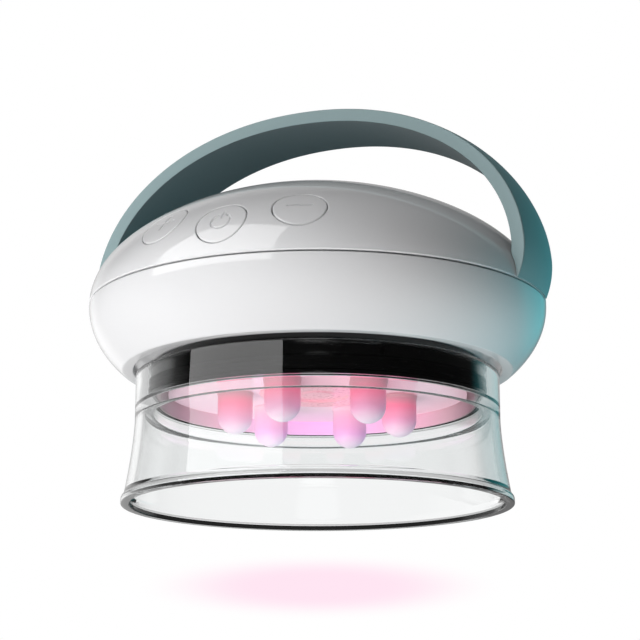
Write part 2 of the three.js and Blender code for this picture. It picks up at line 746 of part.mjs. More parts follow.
// a finger hangs from the plate: round tip, straight side, small root flare, stem and head above the plate
function fingerProfile() {
  const base = plateFace - clearance;
  const tip = base - fingerLength;
  const points = [];
  for (let i = 0; i <= tipSteps; i++) {
    const angle = (i / tipSteps) * (Math.PI / 2);
    points.push([i === 0 ? 0 : fingerRadius * Math.sin(angle), tip + fingerRadius * (1 - Math.cos(angle))]);
  }
  const headRadius = fingerStemRadius + 3 * clearance;
  const headLow = plateTop + clearance;
  points.push([fingerRadius, base - fingerRoot], [fingerRadius + fingerRoot / 3, base]);
  points.push([fingerStemRadius, base], [fingerStemRadius, headLow], [headRadius, headLow]);
  points.push([headRadius, headLow + fingerRoot], [0, headLow + fingerRoot]);
  return points;
}
const finger = turned(fingerProfile(), smallSteps);
fingers.forEach(([x, y], i) => {
  addPiece(head, `massage_finger_${i + 1}`, finger, plastic(fingerPink, 0.4), [x, y, 0]);
});

// Drive: shaft in its bush, clip, wheel, pinion and motor
const shaftLow = plateFace + plateStep + hubRise + clearance;
const shaftTop = gearTop + turningGap;
const shaft = ring(0, shaftRadius, shaftLow, shaftTop, shaftSteps);
addPiece(head, "head_shaft", shaft, metal(steel, 0.25));
const bushInner = shaftRadius + clearance / 3;
const bushOuter = hubInner - clearance;
const bush = turned([
  [bushInner, bushBottom], [bushOuter, bushBottom], [bushOuter, bushTop - bushFlange],
  [hubOuter - clearance, bushTop - bushFlange], [hubOuter - clearance, bushTop], [bushInner, bushTop],
  [bushInner, bushBottom],
], shaftSteps);
addPiece(drive, "head_bush", bush, metal(bronze, 0.4));
const clip = ring(bushInner, shaftRadius + bushWall / 2, clipBottom, clipBottom + clipThickness, shaftSteps);
addPiece(head, "shaft_clip", clip, metal(steel, 0.3));

// a spur wheel with straight-sided teeth, turned so that a tooth or a gap faces the other wheel
function spurWheel(teeth, boreRadius, low, high, turn) {
  const pitchRadius = (gearModule * teeth) / 2;
  const tipRadius = pitchRadius + gearModule;
  const rootRadius = pitchRadius - toothRootShare * gearModule;
  const pitch = Math.PI * gearModule;
  const corners = [
    [rootRadius, -toothFootShare], [tipRadius, -toothTipShare],
    [tipRadius, toothTipShare], [rootRadius, toothFootShare],
  ];
  const shape = new THREE.Shape();
  for (let i = 0; i < teeth; i++) {
    for (const [radius, widthShare] of corners) {
      const angle = turn * degree + (2 * Math.PI * i) / teeth + (widthShare * pitch) / radius;
      const x = radius * Math.cos(angle);
      const y = radius * Math.sin(angle);
      if (i === 0 && radius === rootRadius && widthShare < 0) shape.moveTo(x, y);
      else shape.lineTo(x, y);
    }
  }
  shape.closePath();
  const bore = new THREE.Path();
  bore.absarc(0, 0, boreRadius, 0, 2 * Math.PI, true);
  shape.holes.push(bore);
  const depth = high - low;
  const curveSegments = shaftSteps / 2;
  const wheel = new THREE.ExtrudeGeometry(shape, { depth, bevelEnabled: false, curveSegments });
  wheel.translate(0, 0, low);
  return solid(wheel);
}
const wheelDistance = (gearModule * (gearTeeth + pinionTeeth)) / 2 + gearSlack;
const gear = spurWheel(gearTeeth, bushInner, gearBottom, gearTop, 0);
addPiece(head, "drive_gear", gear, plastic(cream, 0.5));
const pinionTurn = 180 / pinionTeeth;
const motorPlace = [0, wheelDistance, 0];
const pinion = spurWheel(pinionTeeth, motorShaftRadius + clearance / 3, gearBottom, gearTop, pinionTurn);
addPiece(drive, "motor_pinion", pinion, metal(bronze, 0.35), motorPlace);
const motorNose = 5;
const motorShaftRise = 2;
const motorShaftTop = seat + motorShaftRise;
const motorShaft = ring(0, motorShaftRadius, gearBottom - turningGap, motorShaftTop, tinySteps);
addPiece(drive, "motor_shaft", motorShaft, metal(steel, 0.25), motorPlace);
let motor = turned([
  [0, motorShaftTop + clearance], [motorShaftRadius + clearance, motorShaftTop + clearance],
  [motorShaftRadius + clearance, chassisBottom], [motorNose, chassisBottom], [motorNose, seat],
  [motorRadius, seat], [motorRadius, seat + motorLength], [motorRadius / 2, seat + motorLength],
  [motorRadius / 2, seat + motorLength + clearance], [0, seat + motorLength + clearance],
], keySteps);
const motorScrewSpread = 8.4;
const motorScrewPlaces = [[-motorScrewSpread, wheelDistance], [motorScrewSpread, wheelDistance]];
for (const side of [-1, 1]) {
  const hole = ring(0, columnBore, seat - overrun, seat + 2 * overrun, tinySteps);
  motor = motor.subtract(moved(hole, side * motorScrewSpread, 0));
}
addPiece(drive, "drive_motor", motor, metal(motorGrey, 0.35), motorPlace);
const motorScrew = screw(shellScrewRadius, chassisThickness + overrun, shellScrewHead, neckScrewHeadHeight);
const motorScrewLow = chassisBottom - clearance - neckScrewHeadHeight;
addScrews(drive, "motor_screw", motorScrewPlaces, motorScrewLow, motorScrew);

// Chassis plate over the drive, with holes for what passes through it
const chassisInset = 14;
const chassisRadius = bodyRadius - chassisInset;
const standoffRadius = 2.2;
const standoffHeight = 2;
let chassis = ring(0, chassisRadius, chassisBottom, chassisTop, keySteps);
const nozzleShift = 3.4;
const pumpNozzle = [portPlace[0] - nozzleShift, portPlace[1] + nozzleShift];
const hoseRadius = 2.8;
const hoseBore = 1.9;
const screwHole = ring(0, columnBore, chassisBottom - overrun, chassisTop + overrun, tinySteps);
for (const [x, y] of [...columns, ...motorScrewPlaces]) {
  chassis = chassis.subtract(moved(screwHole, x, y));
}
const noseHole = ring(0, motorNose + clearance, chassisBottom - overrun, chassisTop + overrun, smallSteps);
chassis = chassis.subtract(moved(noseHole, 0, wheelDistance));
const hoseHole = ring(0, hoseRadius + clearance, chassisBottom - overrun, chassisTop + overrun, smallSteps);
chassis = chassis.subtract(moved(hoseHole, ...pumpNozzle));
const mainBoardLeft = 15;
const mainBoardInset = 11;
const mainBoardX = [mainBoardLeft, chassisRadius - mainBoardInset];
const mainBoardDepth = 31;
const mainBoardBack = 29;
const mainBoardY = [mainBoardBack - mainBoardDepth, mainBoardBack];
const boardInset = 3;
const standoffPlaces = [];
for (const x of [mainBoardX[0] + boardInset, mainBoardX[1] - boardInset]) {
  for (const y of [mainBoardY[0] + boardInset, mainBoardY[1] - boardInset]) standoffPlaces.push([x, y]);
}
const standoff = ring(0, standoffRadius, chassisTop, chassisTop + standoffHeight, tinySteps);
for (const [x, y] of standoffPlaces) {
  chassis = chassis.add(moved(standoff, x, y));
}
addPiece(housing, "chassis_plate", chassis, plastic(darkPlastic, 0.55));

// Main board and what is soldered on it
const mainBoardLow = chassisTop + standoffHeight + clearance;
const mainBoardTop = mainBoardLow + boardThickness;
const mainBoard = block(...mainBoardX, ...mainBoardY, mainBoardLow, mainBoardTop);
const partsLow = mainBoardTop - boardThickness / 2;
const chipSize = 8;
const capacitorRadius = 3.2;
const capacitorHeight = 7;
const chipHeight = 1.2;
const boardMiddle = (mainBoardX[0] + mainBoardX[1]) / 2;
const boardFront = mainBoardY[0] + boardInset;
const chipLeft = boardMiddle - chipSize / 2;
const chipTop = partsLow + chipHeight;
const chipFront = boardFront + chipSize;
const mainChip = block(chipLeft, chipLeft + chipSize, chipFront, chipFront + chipSize, partsLow, chipTop);
const smallChip = block(chipLeft, boardMiddle, boardFront, boardFront + chipSize / 2, partsLow, chipTop);
const capacitor = ring(0, capacitorRadius, partsLow, partsLow + capacitorHeight, smallSteps);
const plug = block(
  boardMiddle - chipSize, boardMiddle + chipSize, mainBoardY[1] - chipSize, mainBoardY[1] - chipSize / 3,
  partsLow, partsLow + 4 * chipHeight,
);
const capacitorPlace = [boardMiddle + chipSize, boardFront + 3 * capacitorRadius];
const boardWithParts = joined(mainBoard, mainChip, smallChip, moved(capacitor, ...capacitorPlace), plug);
addPiece(power, "main_board", boardWithParts, plastic(boardGreen, 0.5));

// Vacuum pump: its head, its motor and the hose from the port in the deck
const pumpMotorRadius = 9.3;
const pumpMotorLength = 19;
const pumpHeadDepth = 15;
const pumpHeadWidth = 19;
const pumpX = pumpNozzle[0] - pumpHeadWidth / 2 + hoseRadius + clearance;
const pumpY = pumpNozzle[1] - hoseRadius - clearance;
const nozzleLength = seat - chassisBottom + overrun;
const pumpLeft = pumpX - pumpHeadWidth / 2;
let pumpHead = block(
  pumpLeft, pumpLeft + pumpHeadWidth, pumpY, pumpY + pumpHeadDepth, seat, seat + pumpHeadWidth,
);
const nozzleRadius = hoseBore - clearance;
const nozzle = ring(0, nozzleRadius, seat - nozzleLength, seat + clearance, tinySteps);
pumpHead = pumpHead.add(moved(nozzle, ...pumpNozzle));
const nozzleBore = ring(0, nozzleRadius / 2, seat - nozzleLength - overrun, seat + overrun, tinySteps);
pumpHead = pumpHead.subtract(moved(nozzleBore, ...pumpNozzle));
addPiece(vacuum, "pump_head", pumpHead, plastic(darkPlastic, 0.5));
const pumpMotor = ring(0, pumpMotorRadius, 0, pumpMotorLength, smallSteps).rotate([90, 0, 0]);
const pumpMotorPlace = [pumpX, pumpY - clearance, seat + pumpMotorRadius];
addPiece(vacuum, "pump_motor", pumpMotor, metal(motorGrey, 0.35), pumpMotorPlace);
const portBase = 4.2;
const portBaseHeight = 1.6;
const portBarb = 3.4;
const portLow = deckTop + clearance;
const portShoulder = portLow + portBaseHeight;
const port = turned([
  [portRadius / 2, portLow], [portBase, portLow], [portBase, portShoulder], [nozzleRadius, portShoulder],
  [nozzleRadius, portShoulder + portBarb], [portRadius / 2, portShoulder + portBarb],
  [portRadius / 2, portLow],
], smallSteps);
addPiece(vacuum, "suction_port", port, plastic(darkPlastic, 0.5), [...portPlace, 0]);
const hoseLow = portShoulder + clearance;
const hoseTop = seat - clearance;
const hosePath = new THREE.CatmullRomCurve3([
  new THREE.Vector3(...portPlace, hoseLow),
  new THREE.Vector3(...portPlace, hoseLow + portBarb),
  new THREE.Vector3(...pumpNozzle, hoseTop - nozzleLength),
  new THREE.Vector3(...pumpNozzle, hoseTop),
]);
const hoseShape = new THREE.Shape();
hoseShape.absarc(0, 0, hoseRadius, 0, 2 * Math.PI, false);
const hoseHollow = new THREE.Path();
hoseHollow.absarc(0, 0, hoseBore, 0, 2 * Math.PI, true);
hoseShape.holes.push(hoseHollow);
const hose = new THREE.ExtrudeGeometry(hoseShape, { steps: 8, extrudePath: hosePath, curveSegments: 5 });
addPiece(vacuum, "air_hose", solid(hose), plastic(milky, 0.5));

// Release valve on the deck
const valveRadius = 4.4;
const valveHeight = 12;
const valveShoulder = portLow + 0.7 * valveHeight;
const valveNoseRadius = 0.6 * valveRadius;
const valve = turned([
  [0, portLow], [valveRadius, portLow], [valveRadius, valveShoulder],
  [valveNoseRadius, valveShoulder], [valveNoseRadius, portLow + valveHeight], [0, portLow + valveHeight],
], smallSteps);
addPiece(vacuum, "release_valve", valve, metal(steel, 0.3), [...valvePlace, 0]);

// Two battery cells in their tray
const cellRadius = 9.1;
const cellLength = 65;
const trayWall = 1.5;
const trayHeight = 7;
const cellLevel = seat + trayWall + clearance + cellRadius;
const cellPitch = 2 * cellRadius + clearance;
const rearCellInset = 13.5;
const cellRows = [-rearCellInset, -rearCellInset - cellPitch];
const traySide = cellRadius + clearance + trayWall;
let tray = block(
  -cellLength / 2 - clearance - trayWall, cellLength / 2 + clearance + trayWall,
  cellRows[1] - traySide, cellRows[0] + traySide, seat, seat + trayHeight,
);
const nickelRadius = 3;
const nickelHeight = 1;
cellRows.forEach((y, i) => {
  const length = cellLength + 2 * clearance;
  const bay = ring(0, cellRadius + clearance / 2, -length / 2, length / 2, smallSteps).rotate([0, 90, 0]);
  tray = tray.subtract(moved(bay, 0, y, cellLevel - clearance / 2));
  const half = cellLength / 2;
  const cell = turned([
    [0, -half], [cellRadius, -half], [cellRadius, half - nickelHeight], [nickelRadius, half - nickelHeight],
    [nickelRadius, half], [0, half],
  ], smallSteps);
  const mesh = addPiece(power, `battery_cell_${i + 1}`, cell, plastic(cellBlue, 0.45), [0, y, cellLevel]);
  mesh.rotation.y = (i === 0 ? 1 : -1) * (Math.PI / 2);
});
addPiece(power, "battery_tray", tray, plastic(darkPlastic, 0.6));

// Keys: curved caps flush with the dome, engraved signs, switches and the bracket under them
const keyStemEnd = keyDepth + keyFlangeThickness + 2 * keyTravel;
const switchGap = keyTravel + clearance;
const switchHeight = 3;
const switchHalf = 3;
const switchTop = -keyStemEnd - switchGap;

function keySign(name) {
  const low = -iconDepth;
  const high = 2 * iconDepth;
  const half = iconStroke / 2;
  const across = block(-iconSize, iconSize, -half, half, low, high);
  if (name === "minus") return across;
  if (name === "plus") return across.add(block(-half, half, -iconSize, iconSize, low, high));
  const loopRadius = loopShare * iconSize;
  const loop = sector(loopRadius - half, loopRadius + half, -180 + loopOpening, 180 - loopOpening, low, high);
  return loop.add(block(-half, half, strokeLowShare * iconSize, strokeHighShare * iconSize, low, high));
}

const keySkin = domeOuter.subtract(domeSolid(-keyCapThickness, upperFoot - overrun));
for (const place of keyPlaces) {
  const column = placed(ring(0, place.radius, -keyDepth, keyDepth, keySteps), place.frame);
  const capPiece = column.intersect(keySkin);
  const flangeLow = -keyDepth - keyFlangeThickness;
  const coreLow = flangeLow + keyFlangeThickness / 2;
  const core = ring(0, place.radius - keyFlange, coreLow, -0.75 * keyCapThickness, keySteps);
  const flange = ring(0, place.radius + keyFlange, flangeLow, -keyDepth, keySteps);
  const stem = ring(0, keyStemRadius, -keyStemEnd, -keyDepth - keyFlangeThickness / 2, tinySteps);
  const key = joined(capPiece, placed(joined(flange, core, stem), place.frame));
  const engraved = key.subtract(placed(moved(keySign(place.name), 0, place.signRise), place.frame));
  addPiece(controls, `key_${place.name}`, engraved, plastic(white, 0.25));
}

for (const place of keyPlaces) {
  const switchLow = switchTop - switchHeight;
  const bodyTop = switchTop - clearance;
  const body = block(-switchHalf, switchHalf, -switchHalf, switchHalf, switchLow, bodyTop);
  const button = ring(0, keyStemRadius, bodyTop - keyTravel, switchTop, tinySteps);
  const mesh = addPiece(controls, `switch_${place.name}`, body.add(button), plastic(darkPlastic, 0.4));
  mesh.applyMatrix4(place.frame);
}

const padLow = switchTop - switchHeight - clearance - boardThickness;
const bracketInset = 22.5;
const bracketInner = bodyRadius - bracketInset;
const bracketWidth = 3.5;
const bracketOuter = bracketInner + bracketWidth;
const bracketMargin = 4;
const bracketSpread = keys[2].angle + bracketMargin;
const postHalfAngle = 2;
const bracketHeight = 2;
let bracket = sector(bracketInner, bracketOuter, -bracketSpread, bracketSpread, seat, seat + bracketHeight);
for (const place of keyPlaces) {
  const pad = block(-switchHalf, switchHalf, -switchHalf, switchHalf, padLow, padLow + boardThickness);
  bracket = bracket.add(placed(pad, place.frame));
  const centre = new THREE.Vector3(0, 0, padLow + 0.7 * boardThickness).applyMatrix4(place.frame);
  const reach = Math.hypot(centre.x, centre.y);
  const postOuter = Math.max(reach, bracketOuter);
  const [from, to] = [place.angle - postHalfAngle, place.angle + postHalfAngle];
  const post = sector(bracketInner, postOuter, from, to, seat, centre.z);
  bracket = bracket.add(post);
}
addPiece(controls, "key_bracket", bracket, plastic(darkPlastic, 0.6));

export default root;
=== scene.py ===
import json
import math

import bmesh
import bpy
import numpy as np
from bpy.props import FloatProperty, FloatVectorProperty, IntProperty, PointerProperty
from mathutils import Matrix, Vector


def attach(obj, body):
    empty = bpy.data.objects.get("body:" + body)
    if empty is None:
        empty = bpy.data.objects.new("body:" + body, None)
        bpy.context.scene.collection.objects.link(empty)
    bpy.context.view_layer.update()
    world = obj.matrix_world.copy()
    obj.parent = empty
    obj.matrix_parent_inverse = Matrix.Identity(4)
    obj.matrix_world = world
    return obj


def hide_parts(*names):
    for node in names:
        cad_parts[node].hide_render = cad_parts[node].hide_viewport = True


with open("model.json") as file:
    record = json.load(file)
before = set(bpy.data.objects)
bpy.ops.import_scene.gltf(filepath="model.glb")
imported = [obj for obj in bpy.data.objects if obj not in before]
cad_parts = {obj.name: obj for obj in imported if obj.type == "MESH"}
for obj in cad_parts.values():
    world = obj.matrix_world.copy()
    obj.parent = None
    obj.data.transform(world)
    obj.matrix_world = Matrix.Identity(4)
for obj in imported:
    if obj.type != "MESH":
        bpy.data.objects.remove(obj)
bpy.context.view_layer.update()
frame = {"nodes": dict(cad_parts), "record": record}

# The finished look of a hand-held suction massager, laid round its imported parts.
# Lengths are in metres. The origin is the centre of the cup's rim, +Z is up, the keys face -Y.

bl_info = {
    "name": "Suction massager",
    "version": (1, 0, 0),
    "blender": (4, 5, 0),
    "location": "View3D > Sidebar > Massager",
    "description": "Builds the finished pieces of a suction massager and the stage that shows it",
    "category": "Object",
}

DEGREE = math.pi / 180


def length(name, value, text):
    """A length property in metres."""
    return FloatProperty(name=name, description=text, default=value, unit="LENGTH",
                         subtype="DISTANCE", precision=5, min=0.0)


def number(name, value, text):
    """A plain number property."""
    return FloatProperty(name=name, description=text, default=value, precision=4)


def angle(name, degrees, text):
    """An angle property, kept in radians."""
    return FloatProperty(name=name, description=text, default=degrees * DEGREE, unit="ROTATION",
                         subtype="ANGLE")


def count(name, value, text):
    """A whole number property."""
    return IntProperty(name=name, description=text, default=value, min=1)


def colour(name, value, text):
    """A colour property, written as display values and kept as linear light."""
    linear = [c / 12.92 if c <= 0.04045 else ((c + 0.055) / 1.055) ** 2.4 for c in value]
    return FloatVectorProperty(name=name, description=text, default=linear, subtype="COLOR",
                               size=3, min=0.0, max=1.0)


def location(name, value, text):
    """A place in metres."""
    return FloatVectorProperty(name=name, description=text, default=value, subtype="TRANSLATION",
                               unit="LENGTH", size=3, precision=5)


class HousingSizes(bpy.types.PropertyGroup):
    """Sizes of the two white shells."""
    radius: length("Body radius", 0.070, "Radius of both shells at the seam")
    seam: length("Seam height", 0.0605, "Height of the seam over the cup's rim")
    gap: length("Seam gap", 0.0005, "Open line between the shells")
    dome_rise: length("Dome rise", 0.0375, "Height of the dome over the seam")
    dome_fall: number("Dome fall", 1.6973, "Power of the dome's radius")
    dome_round: number("Dome roundness", 2.0047, "Power of the dome's height")
    belly_depth: length("Belly depth", 0.0366, "Depth at which the belly's curve would close")
    belly_fall: number("Belly fall", 2.025, "Power of the belly's radius")
    belly_round: number("Belly roundness", 2.07, "Power of the belly's depth")
    wall: length("Wall", 0.0024, "Thickness of the shells")
    edge: length("Edge", 0.00035, "Rounding of the shells' edges at the seam")
    mouth: length("Mouth radius", 0.056, "Radius of the belly's opening for the cup")
    lip: length("Lip height", 0.0407, "Height of the belly's lowest edge")
    floor_low: length("Floor underside", 0.0426, "Height of the inner floor's underside")
    floor_high: length("Floor top", 0.045, "Height of the inner floor's top")
    floor_opening: length("Floor opening", 0.034, "Radius of the opening in the floor")
    seat: length("Column foot", 0.060, "Height at which the dome's screw columns end")
    column: length("Column radius", 0.0036, "Radius of a screw column")
    column_circle: length("Column circle", 0.048, "Distance of a screw column from the axis")
    bore: length("Screw bore", 0.0014, "Radius of the bore in a screw column")
    bore_depth: length("Screw bore depth", 0.0144, "Depth of the bore in a dome's column")
    post_top: length("Post top", 0.0573, "Height of the belly's posts under the dome's columns")
    post_bore_depth: length("Post bore depth", 0.003, "Depth of the bore in a belly's post")
    neck_post_top: length("Neck post top", 0.0498, "Height of the posts for the neck's screws")
    neck_post_circle: length("Neck post circle", 0.04348, "Distance of the neck's posts from the axis")
    tongue_inner: length("Tongue inner radius", 0.0669, "Inner radius of the tongue at the seam")
    tongue_outer: length("Tongue outer radius", 0.06745, "Outer radius of the tongue at the seam")
    tongue_rise: length("Tongue rise", 0.0004, "How far the tongue stands over the belly's rim")
    tongue_foot: length("Tongue foot", 0.0015, "How far under the seam the tongue's inner side starts")
    lip_roll: length("Lip roll", 0.0013, "Height over the belly's lip at which its rounding starts")
    clamp_in: length("Clamp place", 0.0036, "Distance of a clamp block's middle from its tab's end")
    clamp_over: length("Clamp height", 0.0018, "Height of a clamp block's middle over its tab")
    clamp_depth: length("Clamp depth", 0.0066, "Depth of the block that lies over a tab")
    clamp_thickness: length("Clamp thickness", 0.003, "Thickness of the block that lies over a tab")


class HandleSizes(bpy.types.PropertyGroup):
    """Sizes of the arched handle."""
    span: length("Half span", 0.07131, "Half the width of the arch")
    base: length("Base height", 0.0685, "Height of the arch's centre")
    rise: length("Rise", 0.0525, "Height of the arch over its centre")
    square: number("Squareness", 2.09, "Power of the arch's curve; 2 is an ellipse")
    thickness: length("Thickness", 0.004, "Depth of the band")
    crown: length("Crown", 0.00128, "How far the band's middle stands out over its edges")
    top_half: length("Half width at the top", 0.0132, "Half the band's width at its crown")
    foot_half: length("Half width at the foot", 0.014, "Half the band's width at its feet")
    edge: length("Edge", 0.0003, "Rounding of the band's long edges")
    gap: length("Gap", 0.00012, "Gap between the band's feet and the dome")
    taper: number("Taper", 0.7, "Power of the change in width with height")
    draw_in: length("Draw in", 0.00168, "How far the feet come in to meet the seam")
    draw_in_end: number("Draw in end", 0.2, "Share of the height at which the feet start to come in")
    tab_height: length("Tab height", 0.0646, "Height of the tab that goes into the dome")
    tab_width: length("Tab width", 0.016, "Width of a tab")
    tab_thickness: length("Tab thickness", 0.0024, "Thickness of a tab")
    tab_inner: length("Tab end", 0.059, "Distance of a tab's end from the axis")
    tab_outer: length("Tab root", 0.0704, "Distance of a tab's root from the axis")
    tab_edge: length("Tab edge", 0.0004, "Rounding of a tab's edges")
    # Painted shade: faces that point inwards more than this get the darker inner tint, which stands in for
    # the shade under the arch
    shade_facing: number("Inner facing", -0.6, "Faces that point inwards more than this get the inner tint")


class KeySizes(bpy.types.PropertyGroup):
    """Sizes of the three keys."""
    side_radius: length("Side key radius", 0.00755, "Radius of the plus and minus keys")
    power_radius: length("Power key radius", 0.00745, "Radius of the power key")
    side_angle: angle("Side key angle", 19.5, "Angle of the side keys from the front")
    side_share: number("Side key place", 0.914, "Share of the body radius where a side key sits")
    power_share: number("Power key place", 0.949, "Share of the body radius where the power key sits")
    gap: length("Gap", 0.0003, "Gap round a key")
    edge: length("Edge", 0.0003, "Rounding of the keys and of their holes")
    depth: length("Depth", 0.0051, "Depth of the flange's top")
    flange: length("Flange", 0.0011, "How far the flange reaches past the key")
    flange_thickness: length("Flange thickness", 0.0009, "Thickness of the flange")
    stem: length("Stem radius", 0.0018, "Radius of the stem")
    stem_end: length("Stem end", 0.007, "Depth of the stem's end")
    sign: length("Sign size", 0.0034, "Half the length of a sign's strokes")
    stroke: length("Stroke", 0.00055, "Width of a sign's strokes")
    engraving: length("Engraving", 0.00045, "Depth of a sign")
    slope: length("Slope", 0.00009, "Half the width of the slope at a stroke's side")
    sign_rise: length("Sign rise", 0.0009, "How far the side keys' signs sit above the middle")
    loop_share: number("Loop share", 0.85, "Radius of the power sign's loop as a share of its size")
    loop_opening: angle("Loop opening", 25, "Half the angle that the loop leaves open")


class CupSizes(bpy.types.PropertyGroup):
    """Sizes of the clear cup."""
    collar: length("Collar radius", 0.0553, "Outer radius of the collar")
    top: length("Top", 0.0394, "Height of the collar's top")
    inner: length("Inner radius", 0.0512, "Inner radius of the collar")
    ledge: length("Ledge radius", 0.0497, "Inner radius of the ledge")
    ledge_low: length("Ledge underside", 0.0263, "Height of the ledge's underside")
    ledge_high: length("Ledge top", 0.0297, "Height of the ledge's top")
    skirt_wall: length("Skirt wall", 0.0026, "Thickness of the skirt")
    skirt_foot: length("Skirt foot", 0.0031, "Height at which the skirt's outside meets the bead")
    flare: length("Flare", 0.0034, "How far the skirt flares at its foot")
    flare_top: length("Flare top", 0.0255, "Height at which the flare starts")
    flare_power: number("Flare power", 1.5, "Power of the flare")
    bead: length("Bead radius", 0.00135, "Radius of the bead at the rim")
    bead_circle: length("Bead circle", 0.0577, "Radius at which the bead runs")
    # Painted shade: the dark band at the bead's inner edge stands in for the dark edge that the thick clear
    # rim shows
    edge_shade_reach: length("Line reach", 0.0006, "Width of the dark line at the bead's inner edge")
    edge_shade_top: length("Line top", 0.0009, "Height of the dark line at the bead's inner edge")
    slot_low: length("Slot underside", 0.0352, "Height of the lock slots' underside")
    slot_high: length("Slot top", 0.0388, "Height of the lock slots' top")
    slot_outer: length("Slot depth radius", 0.0541, "Outer radius of the lock slots")
    slot_half: angle("Slot half angle", 2.014, "Half the angle that a pin needs")
    turn: angle("Turn", 12.5, "Turn that locks the cup")
    pin_angle: angle("Pin angle", 29.5, "Angle of the first pin from the front")
    pins: count("Pins", 3, "Number of lock pins")


class NeckSizes(bpy.types.PropertyGroup):
    """Sizes of the black neck, its seal and its lighted lining."""
    radius: length("Neck radius", 0.05048, "Outer radius of the neck")
    inner: length("Neck inner radius", 0.04888, "Inner radius of the neck")
    low: length("Neck foot", 0.030, "Height of the neck's lowest edge")
    deck_low: length("Deck underside", 0.0399, "Height of the deck's underside")
    deck_high: length("Deck top", 0.0423, "Height of the deck's top")
    hub_inner: length("Hub inner radius", 0.0078, "Inner radius of the bearing's hub")
    hub_outer: length("Hub outer radius", 0.0102, "Outer radius of the bearing's hub")
    hub_top: length("Hub top", 0.0486, "Height of the bearing's hub")
    pin_radius: length("Pin radius", 0.0015, "Radius of a lock pin")
    pin_height: length("Pin height", 0.037, "Height of the lock pins")
    pin_reach: length("Pin reach", 0.0024, "How far a lock pin stands out")
    pin_root: length("Pin root", 0.0008, "How far a lock pin goes into the neck")
    groove_gap: length("Groove gap", 0.0003, "Gap over and under the seal in its groove")
    groove_depth: length("Groove depth", 0.00015, "How far the groove goes in behind the seal")
    seal_lip: length("Seal lip", 0.001, "Height of each of the seal's lips")
    seal_dip: length("Seal dip", 0.0003, "Depth of the hollow between the seal's lips")
    seal_low: length("Seal underside", 0.0316, "Height of the seal's lower edge")
    seal_high: length("Seal top", 0.0353, "Height of the seal's upper edge")
    seal_inner: length("Seal inner radius", 0.05028, "Inner radius of the seal")
    seal_outer: length("Seal outer radius", 0.05088, "Outer radius of the seal")
    lining_inner: length("Lining inner radius", 0.04768, "Inner radius of the lighted lining")
    lining_outer: length("Lining outer radius", 0.04858, "Outer radius of the lighted lining")
    lining_top: length("Lining top", 0.0384, "Height of the lining's top")


class HeadSizes(bpy.types.PropertyGroup):
    """Sizes of the turning plate with its cap and fingers."""
    plate: length("Plate radius", 0.04718, "Radius of the plate")
    face: length("Plate face", 0.0342, "Height of the plate's underside")
    top: length("Plate top", 0.0364, "Height of the plate's top")
    step: length("Plate step", 0.0008, "Depth of the recess for the cap")
    boss: length("Boss radius", 0.0075, "Radius of the plate's boss")
    boss_top: length("Boss top", 0.0394, "Height of the plate's boss")
    bore: length("Bore radius", 0.0041, "Radius of the bore for the shaft")
    cap: length("Cap radius", 0.0174, "Radius of the hub cap")
    cap_ring: length("Cap ring radius", 0.0091, "Radius of the cap's inner step")
    cap_boss: length("Cap boss radius", 0.0057, "Radius of the cap's middle")
    cap_low: length("Cap underside", 0.0334, "Height of the cap's lowest face")
    cap_top: length("Cap top", 0.0347, "Height of the cap's top")
    finger: length("Finger radius", 0.0053, "Radius of a finger")
    finger_length: length("Finger length", 0.0125, "Length of a finger")
    finger_circle: length("Finger circle", 0.0251, "Distance of a finger from the axis")
    finger_base: length("Finger base", 0.0339, "Height of a finger's base")
    finger_root: length("Finger root", 0.0011, "Height of the small flare at a finger's base")
    finger_stem: length("Finger stem", 0.0026, "Radius of a finger's stem")
    finger_lock: length("Finger lock", 0.0009, "How far the stem's head reaches past the stem")
    finger_count: count("Fingers", 6, "Number of fingers")


class InletSizes(bpy.types.PropertyGroup):
    """Sizes of the charging inlet on the back."""
    width: length("Width", 0.009, "Width of the inlet")
    height: length("Height", 0.0033, "Height of the inlet")
    depth: length("Depth", 0.0074, "Depth of the inlet")
    wall: length("Wall", 0.0004, "Wall of the inlet")
    level: length("Level", 0.0525, "Height of the inlet's middle")
    face: length("Face", 0.06762, "Distance of the inlet's face from the axis")
    gap: length("Gap", 0.0003, "Gap round the inlet")
    edge: length("Edge", 0.0003, "Rounding of the opening in the belly")


